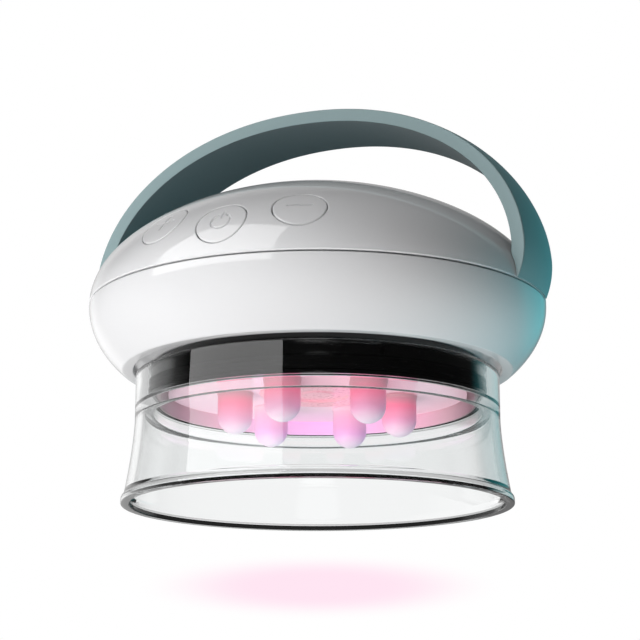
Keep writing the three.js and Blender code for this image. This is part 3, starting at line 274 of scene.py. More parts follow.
class Colours(bpy.types.PropertyGroup):
    """Colours of the finished pieces."""
    shell: colour("Shell", (0.93, 0.93, 0.935), "White of the shells and keys")
    handle: colour("Handle", (0.56, 0.655, 0.665), "Teal of the handle")
    # Painted shade: the darker slate of the inner face stands in for the shade under the arch; the band
    # itself is one teal
    handle_inner_shade: colour("Handle inner face", (0.37, 0.415, 0.425), "Slate of the handle's inner face")
    neck: colour("Neck", (0.03, 0.03, 0.03), "Black of the neck")
    rubber: colour("Rubber", (0.02, 0.02, 0.02), "Black of the seal")
    cup: colour("Cup", (0.985, 0.99, 0.99), "Tint of the clear cup")
    # Painted shade: near-black at the bead's inner edge, standing in for the dark edge of the thick clear
    # rim
    cup_edge_shade: colour("Cup's line", (0.004, 0.004, 0.004), "Dark line round the cup's opening")
    plate: colour("Plate", (0.95, 0.82, 0.87), "Pale pink of the turning plate")
    cap: colour("Cap", (0.98, 0.70, 0.76), "Pink of the hub cap")
    finger_root: colour("Finger root", (0.80, 0.60, 0.64), "Tint at a finger's root")
    finger_high: colour("Finger upper", (1.0, 0.56, 0.68), "Tint of a finger's upper part")
    finger_low: colour("Finger lower", (0.97, 0.72, 0.85), "Tint of a finger's lower part")
    finger_tip: colour("Finger tip", (0.97, 0.90, 0.96), "Pale tint at a finger's tip")
    # Painted light and shade: the lining glows as the real lighted ring does, but its side away from the
    # camera at rest is painted brighter and its near side painted darker
    lining_shaded: colour("Lining dark", (0.42, 0.34, 0.36), "Lining away from its lamps")
    lining_half_lit: colour("Lining rose", (0.76, 0.62, 0.66), "Lining between light and dark")
    lining_lit: colour("Lining pink", (0.88, 0.68, 0.76), "Lining near its lamps")
    lining: colour("Lining", (0.93, 0.74, 0.92), "Lavender of the lighted lining")
    # Painted light: the far fingers' tints carry the lavender light of the lining
    lit_far_root: colour("Far finger root", (0.95, 0.80, 0.86), "Tint at a far finger's root")
    lit_far_high: colour("Far finger upper", (0.97, 0.74, 0.87), "Tint of a far finger's upper part")
    lit_far_low: colour("Far finger lower", (0.95, 0.74, 0.93), "Tint of a far finger's lower part")


class StageSettings(bpy.types.PropertyGroup):
    """Camera, lamps and background."""
    camera_place: location("Camera place", (0.2239336, -0.5029631, -0.0756006), "Where the camera stands")
    camera_turn: angle("Camera turn", 23.926185, "Direction of the camera's view, to the left of +Y")
    camera_tilt: angle("Camera tilt", 13.618748, "How far the camera looks up")
    lens: number("Lens", 103.42, "Focal length of the camera in millimetres")
    aim: length("Aim", 0.055, "Height of the point that the lamps stand round and face")
    softbox: number("Softbox", 4.5, "Power of the large softbox at the left front, in watts")
    panel: number("Panel", 26.0, "Power of the upright panel that glossy surfaces mirror, in watts")
    low_left: number("Low left lamp", 0.5, "Power of the lamp low at the left front, in watts")
    below: number("Lamp below", 9.2, "Power of the lamp below the cup, in watts")
    top: number("Top lamp", 2.6, "Power of the lamp over the dome, in watts")
    left: number("Left lamp", 0.8, "Power of the lamp at the left, in watts")
    rim: number("Rim lamp", 6.0, "Power of the teal lamp behind the right side, in watts")
    rim_tint: colour("Rim tint", (0.52, 0.95, 1.0), "Colour of the lamp behind the right side")
    ambient: number("Ambient", 0.03, "Level of the even light from all round")
    dark: number("Dark", 0.03, "Level of the dark surroundings in clear surfaces")
    between: number("Between", 0.6, "Level of the zone round the backdrop")
    # Painted light: the blush is a pool of the head's pink light painted into the backdrop that the camera
    # sees
    blush: colour("Blush", (1.0, 0.90, 0.953), "Pink that the head's light leaves on the backdrop")
    blush_down: number("Blush place", 0.1440, "How far the blush lies below the view's middle, in radians")
    blush_width: number("Blush width", 0.105, "Half the width of the blush, in radians")
    blush_height: number("Blush height", 0.019, "Half the height of the blush, in radians")
    blush_core: number("Blush core", 0.25, "Share of the blush that has its full colour")
    rim_zone: colour("Rim zone", (0.25, 0.70, 0.72), "Colour mirrored from behind the right side")


class MassagerSettings(bpy.types.PropertyGroup):
    """All sizes, colours and lamps of the scene."""
    housing: PointerProperty(type=HousingSizes)
    handle: PointerProperty(type=HandleSizes)
    keys: PointerProperty(type=KeySizes)
    cup: PointerProperty(type=CupSizes)
    neck: PointerProperty(type=NeckSizes)
    head: PointerProperty(type=HeadSizes)
    inlet: PointerProperty(type=InletSizes)
    colours: PointerProperty(type=Colours)
    stage: PointerProperty(type=StageSettings)


# Grids, profiles and meshes. A corner of a profile is (radius, height, fillet).

def grid(points, wrap=False, keep=None):
    """The quads between a grid's points (rows, columns, 3); wrap joins the last column to the first."""
    rows, columns = points.shape[:2]
    i, j = np.meshgrid(np.arange(rows - 1), np.arange(columns if wrap else columns - 1), indexing="ij")
    k = (j + 1) % columns
    quads = np.stack([i * columns + j, i * columns + k, (i + 1) * columns + k, (i + 1) * columns + j], -1)
    if keep is not None:
        quads = quads[keep]
    return points.reshape(-1, 3), quads.reshape(-1, 4)


def make_object(name, patches, body, sharp=38, replaces=(), weld=1.5e-6):
    """Joins grids into one closed mesh: shared points are merged and the normals point out."""
    points = np.concatenate([p for p, _ in patches])
    starts = np.cumsum([0] + [len(p) for p, _ in patches[:-1]])
    quads = np.concatenate([q + s for (_, q), s in zip(patches, starts)])
    mesh = bpy.data.meshes.new(name)
    mesh.from_pydata(points, [], quads.tolist())
    shape = bmesh.new()
    shape.from_mesh(mesh)
    bmesh.ops.remove_doubles(shape, verts=shape.verts, dist=weld)
    bmesh.ops.dissolve_degenerate(shape, edges=shape.edges, dist=weld / 4)
    bmesh.ops.recalc_face_normals(shape, faces=shape.faces)
    open_edges = sum(1 for edge in shape.edges if not edge.is_manifold)
    shape.to_mesh(mesh)
    shape.free()
    if open_edges:
        raise RuntimeError(f"{name} has {open_edges} open edges")
    mesh.shade_smooth()
    mesh.set_sharp_from_angle(angle=sharp * DEGREE)
    made = bpy.data.objects.new(name, mesh)
    bpy.context.scene.collection.objects.link(made)
    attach(made, body)
    if replaces:
        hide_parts(*replaces)
    return made


def face_vectors(made, kind):
    """The centres or the normals of an object's faces, one row each."""
    values = np.empty(3 * len(made.data.polygons))
    made.data.polygons.foreach_get(kind, values)
    return values.reshape(-1, 3)


def mark_faces(made, name, marked):
    """Keeps an attribute on the faces, 1 where they are marked and 0 elsewhere."""
    made.data.attributes.new(name, "FLOAT", "FACE").data.foreach_set("value", marked.astype(float))


def rounded(corners, steps=6):
    """A profile through corners: a fillet f starts f / tan(half the angle) from its corner."""
    out = []
    for i, (x, y, fillet) in enumerate(corners):
        here = np.array([x, y], float)
        if fillet <= 0 or i in (0, len(corners) - 1):
            out.append(here)
            continue
        back = np.array(corners[i - 1][:2], float) - here
        ahead = np.array(corners[i + 1][:2], float) - here
        back, ahead = back / np.linalg.norm(back), ahead / np.linalg.norm(ahead)
        half = math.acos(float(np.clip(back @ ahead, -1, 1))) / 2
        middle = (back + ahead) / np.linalg.norm(back + ahead)
        centre = here + middle * fillet / math.sin(half)
        first = here + back * fillet / math.tan(half) - centre
        last = here + ahead * fillet / math.tan(half) - centre
        start = math.atan2(first[1], first[0])
        sweep = (math.atan2(last[1], last[0]) - start + math.pi) % (2 * math.pi) - math.pi
        turn = start + sweep * np.linspace(0, 1, steps + 1)
        out.extend(centre + fillet * np.stack([np.cos(turn), np.sin(turn)], 1))
    return np.array(out)


def even_turn(steps):
    """Azimuths of a full turn, the last one left out."""
    return np.arange(steps) * (2 * math.pi / steps)


def turned(profile, azimuths):
    """A profile of (r, z) turned about Z: x = r sin(a), y = -r cos(a)."""
    r, z = profile[:, 0, None], profile[:, 1, None]
    a = azimuths[None, :]
    return np.stack([r * np.sin(a), -r * np.cos(a), z + 0 * a], -1)


def lathe(corners, steps=256, fillet_steps=6):
    """The grid of a rounded profile turned about Z."""
    return grid(turned(rounded(corners, fillet_steps), even_turn(steps)), wrap=True)


def moved(patch, offset):
    """A grid moved by an offset."""
    points, quads = patch
    return points + np.array(offset), quads


def spread(stops, steps):
    """Evenly spaced values between each two stops, as many as the steps say, and the last stop."""
    parts = [np.linspace(a, b, n, endpoint=False) for a, b, n in zip(stops[:-1], stops[1:], steps)]
    return np.concatenate(parts + [[stops[-1]]])


def block(size, centre, edge, steps=3):
    """A box with rounded edges: each row of it is min(1, 1.6 |cos|) of its straight half plus a circle."""
    half = np.array(size) / 2
    turn = even_turn(64)
    straight = half[:2] - edge
    corner = np.stack([np.cos(turn), np.sin(turn)], -1)
    ray = np.sign(corner) * np.minimum(1, np.abs(corner) * 1.6)
    rows = []
    quarter = np.linspace(0, math.pi / 2, steps + 1)
    for side in (-1, 1):
        turns = quarter if side < 0 else quarter[::-1]
        for q in turns:
            outline = straight * ray + edge * math.sin(q) * corner
            z = side * (half[2] - edge + edge * math.cos(q))
            rows.append(np.concatenate([outline, np.full((len(turn), 1), z)], 1))
    middle = [np.zeros_like(rows[0]) + [0, 0, s * half[2]] for s in (-1, 1)]
    return grid(np.stack([middle[0], *rows, middle[1]]) + np.array(centre), wrap=True)


# The shells' curved surfaces and what is cut into them

def shell_form(housing, upper):
    """Radius, rise, powers and side of a shell: (r/R)^fall + (h/H)^round = 1 with h from the seam."""
    if upper:
        return dict(radius=housing.radius, rise=housing.dome_rise, fall=housing.dome_fall,
                    round=housing.dome_round, seam=housing.seam, side=1)
    return dict(radius=housing.radius, rise=housing.belly_depth, fall=housing.belly_fall,
                round=housing.belly_round, seam=housing.seam, side=-1)


def shell_profile(form, level, inset=0.0):
    """r = R sin(t)^(2/fall) and h = H cos(t)^(2/round) for a level t from pole (0) to seam (90 degrees)."""
    r = (form["radius"] - inset) * np.clip(np.sin(level), 0, 1) ** (2 / form["fall"])
    h = (form["rise"] - inset) * np.clip(np.cos(level), 0, 1) ** (2 / form["round"])
    return r, form["seam"] + form["side"] * h


def shell_points(form, azimuth, level, inset=0.0):
    """Points of a shell's surface at azimuths from the front and levels from the pole."""
    r, z = shell_profile(form, level, inset)
    return np.stack([r * np.sin(azimuth), -r * np.cos(azimuth), z + 0 * azimuth], -1)


def shell_share(form, points, inset=0.0):
    """The two terms of the shell's formula at any points, (r/R)^fall and (h/H)^round."""
    r = np.hypot(points[..., 0], points[..., 1])
    h = np.maximum(form["side"] * (points[..., 2] - form["seam"]), 0)
    return (r / (form["radius"] - inset)) ** form["fall"], (h / (form["rise"] - inset)) ** form["round"]


def shell_chart(form, points, inset, centre):
    """Azimuth and level of points that lie on a shell's surface, the azimuth taken near a centre."""
    far, high = shell_share(form, points, inset)
    azimuth = np.arctan2(points[..., 0], -points[..., 1])
    azimuth = centre + (azimuth - centre + math.pi) % (2 * math.pi) - math.pi
    return azimuth, np.arctan2(np.sqrt(far), np.sqrt(high))


def level_at(form, z, inset=0.0):
    """The level of a height: cos(t) = (h/H)^(round/2)."""
    return math.acos((form["side"] * (z - form["seam"]) / (form["rise"] - inset)) ** (form["round"] / 2))


def dropped(form, place, x, y, inset=0.0):
    """Heights along a place's normal at which its plane's points (x, y) meet a shell, by halving."""
    origin, across, up, normal = place
    base = origin + x[..., None] * across + y[..., None] * up
    # The shell lies between 14 mm under and 8 mm over the plane of any place that is used
    low, high = np.full(x.shape, -0.014), np.full(x.shape, 0.008)
    for _ in range(34):
        middle = (low + high) / 2
        outside = sum(shell_share(form, base + middle[..., None] * normal, inset)) > 1
        low, high = np.where(outside, low, middle), np.where(outside, middle, high)
    return low


def at_place(place, x, y, z):
    """Points given in a place's own axes."""
    origin, across, up, normal = place
    return origin + x[..., None] * across + y[..., None] * up + z[..., None] * normal


def outward(turn):
    """The direction away from the axis at an azimuth from the front: (sin a, -cos a, 0)."""
    return np.array([math.sin(turn), -math.cos(turn), 0.0])


def upright_place(out, distance, level):
    """A place on an upright wall: its normal points out, up is +Z and across is a quarter turn on."""
    out = np.array(out, float)
    return out * distance + [0, 0, level], np.array([-out[1], out[0], 0]), np.array([0, 0, 1.0]), out


def circle_outline(radius):
    """A circle's outline at angles, grown by a margin: x = (r + g) cos(q), y = (r + g) sin(q)."""
    return lambda turn, grow: ((radius + grow) * np.cos(turn), (radius + grow) * np.sin(turn))


def slot_outline(half_width, half_height):
    """The point where a ray from the middle meets a slot with round ends, grown by a margin."""
    def outline(turn, grow):
        """The flat side at radius / |sin|, or the end at s |cos| + (radius^2 - (s sin)^2)^(1/2)."""
        radius, straight = half_height + grow, half_width - half_height
        c, s = np.abs(np.cos(turn)), np.abs(np.sin(turn))
        flat = radius / np.maximum(s, 1e-9)
        end = straight * c + np.sqrt(np.maximum(radius ** 2 - (straight * s) ** 2, 0))
        reach = np.where(flat * c < straight, flat, end)
        return reach * np.cos(turn), reach * np.sin(turn)
    return outline


def window_loop(azimuths, levels, window):
    """Azimuth and level of the grid points round a window, one after the other."""
    j0, j1, i0, i1 = window
    j, i = np.arange(j0, j1), np.arange(i0, i1)
    columns = np.concatenate([j, np.full(len(i), j1), j[::-1] + 1, np.full(len(i), j0)])
    rows = np.concatenate([np.full(len(j), i0), i, np.full(len(j), i1), i[::-1] + 1])
    return azimuths[columns], levels[rows]


def tunnel(form, place, outline, azimuths, levels, window, wall, edge):
    """A hole through a shell: rings from the window to the rim, a fillet, the wall and the inner rings."""
    origin, across, up, _ = place
    ring_az, ring_level = window_loop(azimuths, levels, window)
    centre = ring_az.mean()
    away = shell_points(form, ring_az, ring_level) - origin
    turn = np.arctan2(away @ up, away @ across)

    def rings(inset, grow):
        """Nine rings on the shell, evenly spaced in azimuth and level from the window to the outline."""
        x, y = outline(turn, grow)
        rim = at_place(place, x, y, dropped(form, place, x, y, inset))
        az, level = shell_chart(form, rim, inset, centre)
        t = np.linspace(0, 1, 9)[:, None]
        az, level = ring_az + (az - ring_az) * t, ring_level + (level - ring_level) * t
        return shell_points(form, az, level, inset)

    rows = [*rings(0.0, edge)]
    for q in np.linspace(0, math.pi / 2, 6)[1:]:
        x, y = outline(turn, edge * (1 - math.sin(q)))
        rows.append(at_place(place, x, y, dropped(form, place, x, y) - edge * (1 - math.cos(q))))
    rows += [*rings(wall, 0.0)[::-1]]
    return grid(np.stack(rows), wrap=True)


def outside_windows(rows, columns, windows):
    """Marks the cells of a grid that lie in no window."""
    i, j = np.meshgrid(np.arange(rows), np.arange(columns), indexing="ij")
    keep = np.ones((rows, columns), bool)
    for j0, j1, i0, i1 in windows:
        keep &= ~((i >= i0) & (i < i1) & (j >= j0) & (j < j1))
    return keep


def key_place(settings, name):
    """Origin, across, up and outward normal of a key: the normal is the gradient of the dome's formula."""
    housing, keys = settings.housing, settings.keys
    turn = {"plus": -keys.side_angle, "power": 0.0, "minus": keys.side_angle}[name]
    share = keys.power_share if name == "power" else keys.side_share
    form = shell_form(housing, True)
    r = housing.radius * share
    h = housing.dome_rise * (1 - share ** form["fall"]) ** (1 / form["round"])
    out = outward(turn)
    normal = out * form["fall"] * share ** form["fall"] / r
    normal = normal + np.array([0, 0, form["round"] * (h / housing.dome_rise) ** form["round"] / h])
    normal /= np.linalg.norm(normal)
    across = np.cross([0, 0, 1], out)
    return out * r + np.array([0, 0, housing.seam + h]), across, np.cross(normal, across), normal


def key_radius(keys, name):
    """Radius of a key's cap."""
    return keys.power_radius if name == "power" else keys.side_radius


def smooth_step(low, high, value):
    """0 below low, 1 above high, and a smooth rise between them."""
    t = np.clip((value - low) / (high - low), 0, 1)
    return t * t * (3 - 2 * t)


# The pieces

COLUMN_TURNS = (60, 180, -60)
NECK_POST_TURNS = (45, 135, -135, -45)


def build_upper_shell(settings):
    """Dome with its key holes, tab slots, rim, screw columns and the blocks over the handle's tabs."""
    housing, keys, handle = settings.housing, settings.keys, settings.handle
    form = shell_form(housing, True)
    foot = housing.seam + housing.gap / 2
    # The columns are evenly spaced between the holes' sides, and the rows are dense where the holes are
    azimuths = DEGREE * spread([-180, -99.3, -80.7, -27.9, -9.3, 9.3, 27.9, 80.7, 99.3, 180],
                               [64, 20, 42, 20, 20, 20, 42, 20, 64])
    top_rows, first = 36, 54
    body = DEGREE * np.concatenate([np.linspace(0, first, top_rows, endpoint=False), np.arange(first, 89)])

    def window(first_column, low, high):
        """Twenty columns and the rows between two levels in degrees, where a hole interrupts the grid."""
        return first_column, first_column + 20, top_rows + low - first, top_rows + high - first

    windows = [window(126, 55, 83), window(146, 60, 87), window(166, 55, 83)]
    slots = [window(64, 79, 88), window(228, 79, 88)]
    patches, ends = [], []
    for inset in (0.0, housing.wall):
        last = level_at(form, foot + housing.edge, inset)
        levels = np.append(body, last)
        keep = outside_windows(len(levels) - 1, len(azimuths) - 1, windows + slots)
        patches.append(grid(shell_points(form, azimuths[None, :], levels[:, None], inset), keep=keep))
        ends.append(float(shell_profile(form, last, inset)[0]))
    outer, inner = ends
    edge = 0.99 * housing.edge
    rim = rounded([(outer, foot + housing.edge, 0), (outer, foot, edge), (inner, foot, edge),
                   (inner, foot + housing.edge, 0)])
    patches.append(grid(turned(rim, azimuths)))
    for name, opening in zip(("plus", "power", "minus"), windows):
        outline = circle_outline(key_radius(keys, name) + keys.gap)
        place = key_place(settings, name)
        patches.append(tunnel(form, place, outline, azimuths, body, opening, housing.wall, keys.edge))
    outline = slot_outline(handle.tab_width / 2 + keys.gap, handle.tab_thickness / 2 + keys.gap)
    for side, opening in zip((-1, 1), slots):
        place = upright_place((side, 0, 0), housing.radius, handle.tab_height)
        patches.append(tunnel(form, place, outline, azimuths, body, opening, housing.wall, keys.edge / 3))
    bore_end = housing.seat + housing.bore_depth
    profile = rounded([(0, housing.seam, 0), (housing.column, housing.seam, 0),
                       (housing.column, housing.seat, 0.0003), (housing.bore, housing.seat, 0.0002),
                       (housing.bore, bore_end, 0), (0, bore_end, 0)], 3)
    for turn in COLUMN_TURNS:
        tube = turned(profile, even_turn(40)) + housing.column_circle * outward(turn * DEGREE)
        tube[:2, :, 2] = dome_height(housing, tube[:2], housing.wall / 2)
        patches.append(grid(tube, wrap=True))
    clamp = (housing.clamp_depth, handle.tab_width, housing.clamp_thickness)
    clamp_level = handle.tab_height + handle.tab_thickness / 2 + housing.clamp_over
    for side in (-1, 1):
        centre = (side * (handle.tab_inner + housing.clamp_in), 0, clamp_level)
        points, quads = block(clamp, centre, handle.tab_edge)
        high = points[:, 2] > centre[2]
        points[high, 2] = dome_height(housing, points[high], housing.wall / 2)
        patches.append((points, quads))
    return make_object("shell_upper", patches, "housing", replaces=["upper_shell"])


def dome_height(housing, points, inset):
    """Height of the dome over any points: h = H (1 - (r/R)^fall)^(1/round)."""
    share = np.minimum(np.hypot(points[..., 0], points[..., 1]) / (housing.radius - inset), 1)
    height = (1 - share ** housing.dome_fall) ** (1 / housing.dome_round)
    return housing.seam + (housing.dome_rise - inset) * height


def build_lower_shell(settings):
    """Belly with its rolled lip, floor, tongue at the seam, screw posts and the opening for the inlet."""
    housing, inlet = settings.housing, settings.inlet
    form = shell_form(housing, False)
    top = housing.seam - housing.gap / 2
    tongue_foot = housing.seam - housing.tongue_foot
    tongue_top = top + housing.tongue_rise
    azimuths = DEGREE * spread([0, 173, 187, 360], [150, 14, 150])
    lip_level = level_at(form, housing.lip + housing.lip_roll)
    outer_levels = spread([lip_level, 70 * DEGREE, 86 * DEGREE, level_at(form, top - housing.edge)],
                          [14, 16, 5])
    inner_levels = spread([level_at(form, housing.floor_high, housing.wall), 70 * DEGREE, 86 * DEGREE,
                           level_at(form, tongue_foot, housing.wall)], [7, 16, 2])
    # The columns and rows that the inlet's opening interrupts: 14 columns from 173 to 187 degrees, and the
    # rows between 70 and 86 degrees, which start at another number inside than outside
    outer_window, inner_window = (150, 164, 14, 30), (150, 164, 7, 23)
    patches = []
    for levels, window, inset in ((outer_levels, outer_window, 0.0),
                                  (inner_levels, inner_window, housing.wall)):
        keep = outside_windows(len(levels) - 1, len(azimuths) - 1, [window])
        patches.append(grid(shell_points(form, azimuths[None, :], levels[:, None], inset), keep=keep))
    outer = float(shell_profile(form, outer_levels[-1])[0])
    inner = float(shell_profile(form, inner_levels[-1], housing.wall)[0])
    rim = rounded([(outer, top - housing.edge, 0), (outer, top, 0.99 * housing.edge),
                   (housing.tongue_outer, top, 0.00005), (housing.tongue_outer, tongue_top, 0.0001),
                   (housing.tongue_inner, tongue_top, 0.0001),
                   (housing.tongue_inner, tongue_foot + 0.0006, 0.0002), (inner, tongue_foot, 0)])
    patches.append(grid(turned(rim, azimuths)))
    start, lip_z = shell_profile(form, lip_level)
    corner = float(shell_profile(form, level_at(form, housing.lip))[0])
    floor_end = float(shell_profile(form, inner_levels[0], housing.wall)[0])
    mouth = rounded([(float(start), float(lip_z), 0), (corner, housing.lip, 0.0011),
                     (housing.mouth, housing.lip, 0.0005), (housing.mouth, housing.floor_low, 0.0002),
                     (housing.floor_opening, housing.floor_low, 0.0003),
                     (housing.floor_opening, housing.floor_high, 0.0003),
                     (floor_end, housing.floor_high, 0)], 8)
    patches.append(grid(turned(mouth, azimuths)))
    place = upright_place((0, 1, 0), housing.radius - 0.001, inlet.level)
    outline = slot_outline(inlet.width / 2 + inlet.gap, inlet.height / 2 + inlet.gap)
    patches.append(tunnel(form, place, outline, azimuths, outer_levels, outer_window, housing.wall,
                          inlet.edge))
    post_foot = housing.floor_high - 0.001
    for turns, circle, height in ((COLUMN_TURNS, housing.column_circle, housing.post_top),
                                  (NECK_POST_TURNS, housing.neck_post_circle, housing.neck_post_top)):
        bore_end = height - housing.post_bore_depth
        post = lathe([(0, post_foot, 0), (housing.column, post_foot, 0), (housing.column, height, 0.0003),
                      (housing.bore, height, 0.0002), (housing.bore, bore_end, 0), (0, bore_end, 0)], 36, 3)
        patches += [moved(post, circle * outward(turn * DEGREE)) for turn in turns]
    return make_object("shell_lower", patches, "housing", replaces=["lower_shell"])


def build_handle(settings):
    """Arched band |x/a|^n + |(z - c)/b|^n = 1, its face k (1 - s^2) out along its normal."""
    housing, handle = settings.housing, settings.handle
    form = shell_form(housing, True)
    edge_share = handle.edge / handle.foot_half
    flat = np.linspace(edge_share - 1, 1 - edge_share, 31)[1:-1]
    lip = [(edge_share * (1 - math.sin(q)) - 1, handle.edge * (1 - math.cos(q)))
           for q in np.linspace(math.pi / 2, 0, 5)]
    outer = [(-1.0, 1.3 * handle.edge)] + lip + [(s, 0.0) for s in flat]
    outer = outer + [(-s, d) for s, d in lip[::-1]] + [(1.0, 1.3 * handle.edge)]
    section = np.array(outer + [(s, handle.thickness - d) for s, d in outer[::-1]])
    shares, depths = section[:, 0], section[:, 1]
    foot = housing.seam + housing.gap / 2
    power = 2 / handle.square

    def place(turn, depth):
        """The band's section at a turn: x = a cos^(2/n), z = c + b sin^(2/n), moved along the normal."""
        cos, sin = np.cos(turn), np.sin(turn)
        x = handle.span * np.sign(cos) * np.abs(cos) ** power
        z = handle.base + handle.rise * np.sign(sin) * np.abs(sin) ** power
        out_x = np.sign(cos) * np.abs(cos) ** (2 - power) / handle.span
        out_z = np.sign(sin) * np.abs(sin) ** (2 - power) / handle.rise
        move = (handle.crown * (1 - shares ** 2) - depth) / np.hypot(out_x, out_z)
        level = np.clip((z - housing.seam) / (handle.base + handle.rise - housing.seam), 0, 1)
        width = handle.foot_half + (handle.top_half - handle.foot_half) * level ** handle.taper
        drawn = handle.draw_in * np.maximum(1 - level / handle.draw_in_end, 0) ** 2
        return np.stack([x + move * out_x - np.sign(x) * drawn, shares * width, z + move * out_z], -1)

    def on_band(turn):
        """The section with its depth cut short, by halving, where the dome and its gap begin."""
        low, high = np.zeros(turn.shape), np.full(turn.shape, handle.thickness)
        for _ in range(24):
            middle = (low + high) / 2
            inside = sum(shell_share(form, place(turn, middle), -handle.gap)) < 1
            low, high = np.where(inside, low, middle), np.where(inside, middle, high)
        return place(turn, depths / handle.thickness * low)

    # The turn, under the arch's centre, at which each point of the section reaches the seam, by halving
    low, high = np.full(shares.shape, -0.35), np.full(shares.shape, 0.0)
    for _ in range(30):
        middle = (low + high) / 2
        under = on_band(middle)[:, 2] < foot
        low, high = np.where(under, middle, low), np.where(under, high, middle)
    t = np.linspace(0, 1, 261)[:, None]
    rows = on_band(high + (math.pi - 2 * high) * t)
    patches = [grid(rows, wrap=True)]
    many = len(outer)
    for row in (rows[0], rows[-1]):
        patches.append(grid(np.stack([row[:many], row[:many - 1:-1]])))
    for x in (-1, 1):
        centre = (x * (handle.tab_inner + handle.tab_outer) / 2, 0, handle.tab_height)
        size = (handle.tab_outer - handle.tab_inner, handle.tab_width, handle.tab_thickness)
        patches.append(block(size, centre, handle.tab_edge))
    made = make_object("arched_handle", patches, "housing", replaces=["handle"])
    # Faces turned in towards the dome are marked for the painted shade that darkens the underside of the
    # arch
    out = face_vectors(made, "center") - (0, 0, housing.seam)
    facing = (out * face_vectors(made, "normal")).sum(1) / np.linalg.norm(out, axis=1)
    mark_faces(made, "inner", facing < handle.shade_facing)
    return made


def sign_distance(keys, name, x, y):
    """Distance from points to the strokes of a key's sign; a stroke is a segment or an arc."""
    def segment(x0, y0, x1, y1):
        """Distance to a straight stroke's nearest point: its start plus t times its run, 0 <= t <= 1."""
        run = np.array([x1 - x0, y1 - y0])
        t = np.clip(((x - x0) * run[0] + (y - y0) * run[1]) / (run @ run), 0, 1)
        return np.hypot(x - x0 - t * run[0], y - y0 - t * run[1])

    size = keys.sign
    if name == "power":
        radius = keys.loop_share * size
        turn = np.arctan2(x, y)
        nearest = np.sign(turn) * np.maximum(np.abs(turn), keys.loop_opening)
        loop = np.hypot(x - radius * np.sin(nearest), y - radius * np.cos(nearest))
        return np.minimum(loop, segment(0, 0.38 * size, 0, 1.2 * size))
    y = y - keys.sign_rise
    across = segment(-size, 0, size, 0)
    if name == "minus":
        return across
    return np.minimum(across, segment(0, -size, 0, size))


def build_key(settings, name):
    """Key cap on the dome's surface with an engraved sign, then its side, flange and stem."""
    keys = settings.keys
    place = key_place(settings, name)
    form = shell_form(settings.housing, True)
    radius = key_radius(keys, name)
    turn = even_turn(216)[None, :]
    # The rings are dense out to here, which takes in every stroke and its slope
    dense = 1.42 * keys.sign
    reach = np.concatenate([np.linspace(0, dense, 84), np.linspace(dense, radius - keys.edge, 14)[1:]])
    x, y = reach[:, None] * np.cos(turn), reach[:, None] * np.sin(turn)
    beside = sign_distance(keys, name, x, y) - keys.stroke / 2
    groove = 1 - smooth_step(-keys.slope, keys.slope, beside)
    rows = [*at_place(place, x, y, dropped(form, place, x, y) - keys.engraving * groove)]
    for q in np.linspace(0, math.pi / 2, 6)[1:]:
        r = radius - keys.edge * (1 - math.sin(q))
        x, y = r * np.cos(turn), r * np.sin(turn)
        rows.append(at_place(place, x, y, dropped(form, place, x, y) - keys.edge * (1 - math.cos(q)))[0])
    low = keys.depth + keys.flange_thickness
    under = rounded([(radius, -keys.depth + 0.001, 0), (radius, -keys.depth, 0.0002),
                     (radius + keys.flange, -keys.depth, 0.0002), (radius + keys.flange, -low, 0.0002),
                     (keys.stem, -low, 0.0002), (keys.stem, -keys.stem_end, 0.0002),
                     (0, -keys.stem_end, 0)], 3)[1:]
    for r, depth in under:
        rows.append(at_place(place, r * np.cos(turn), r * np.sin(turn), depth + 0 * turn)[0])
    return make_object(f"cap_{name}", [grid(np.stack(rows), wrap=True)], f"key_{name}",
                       replaces=[f"key_{name}"], sharp=50)


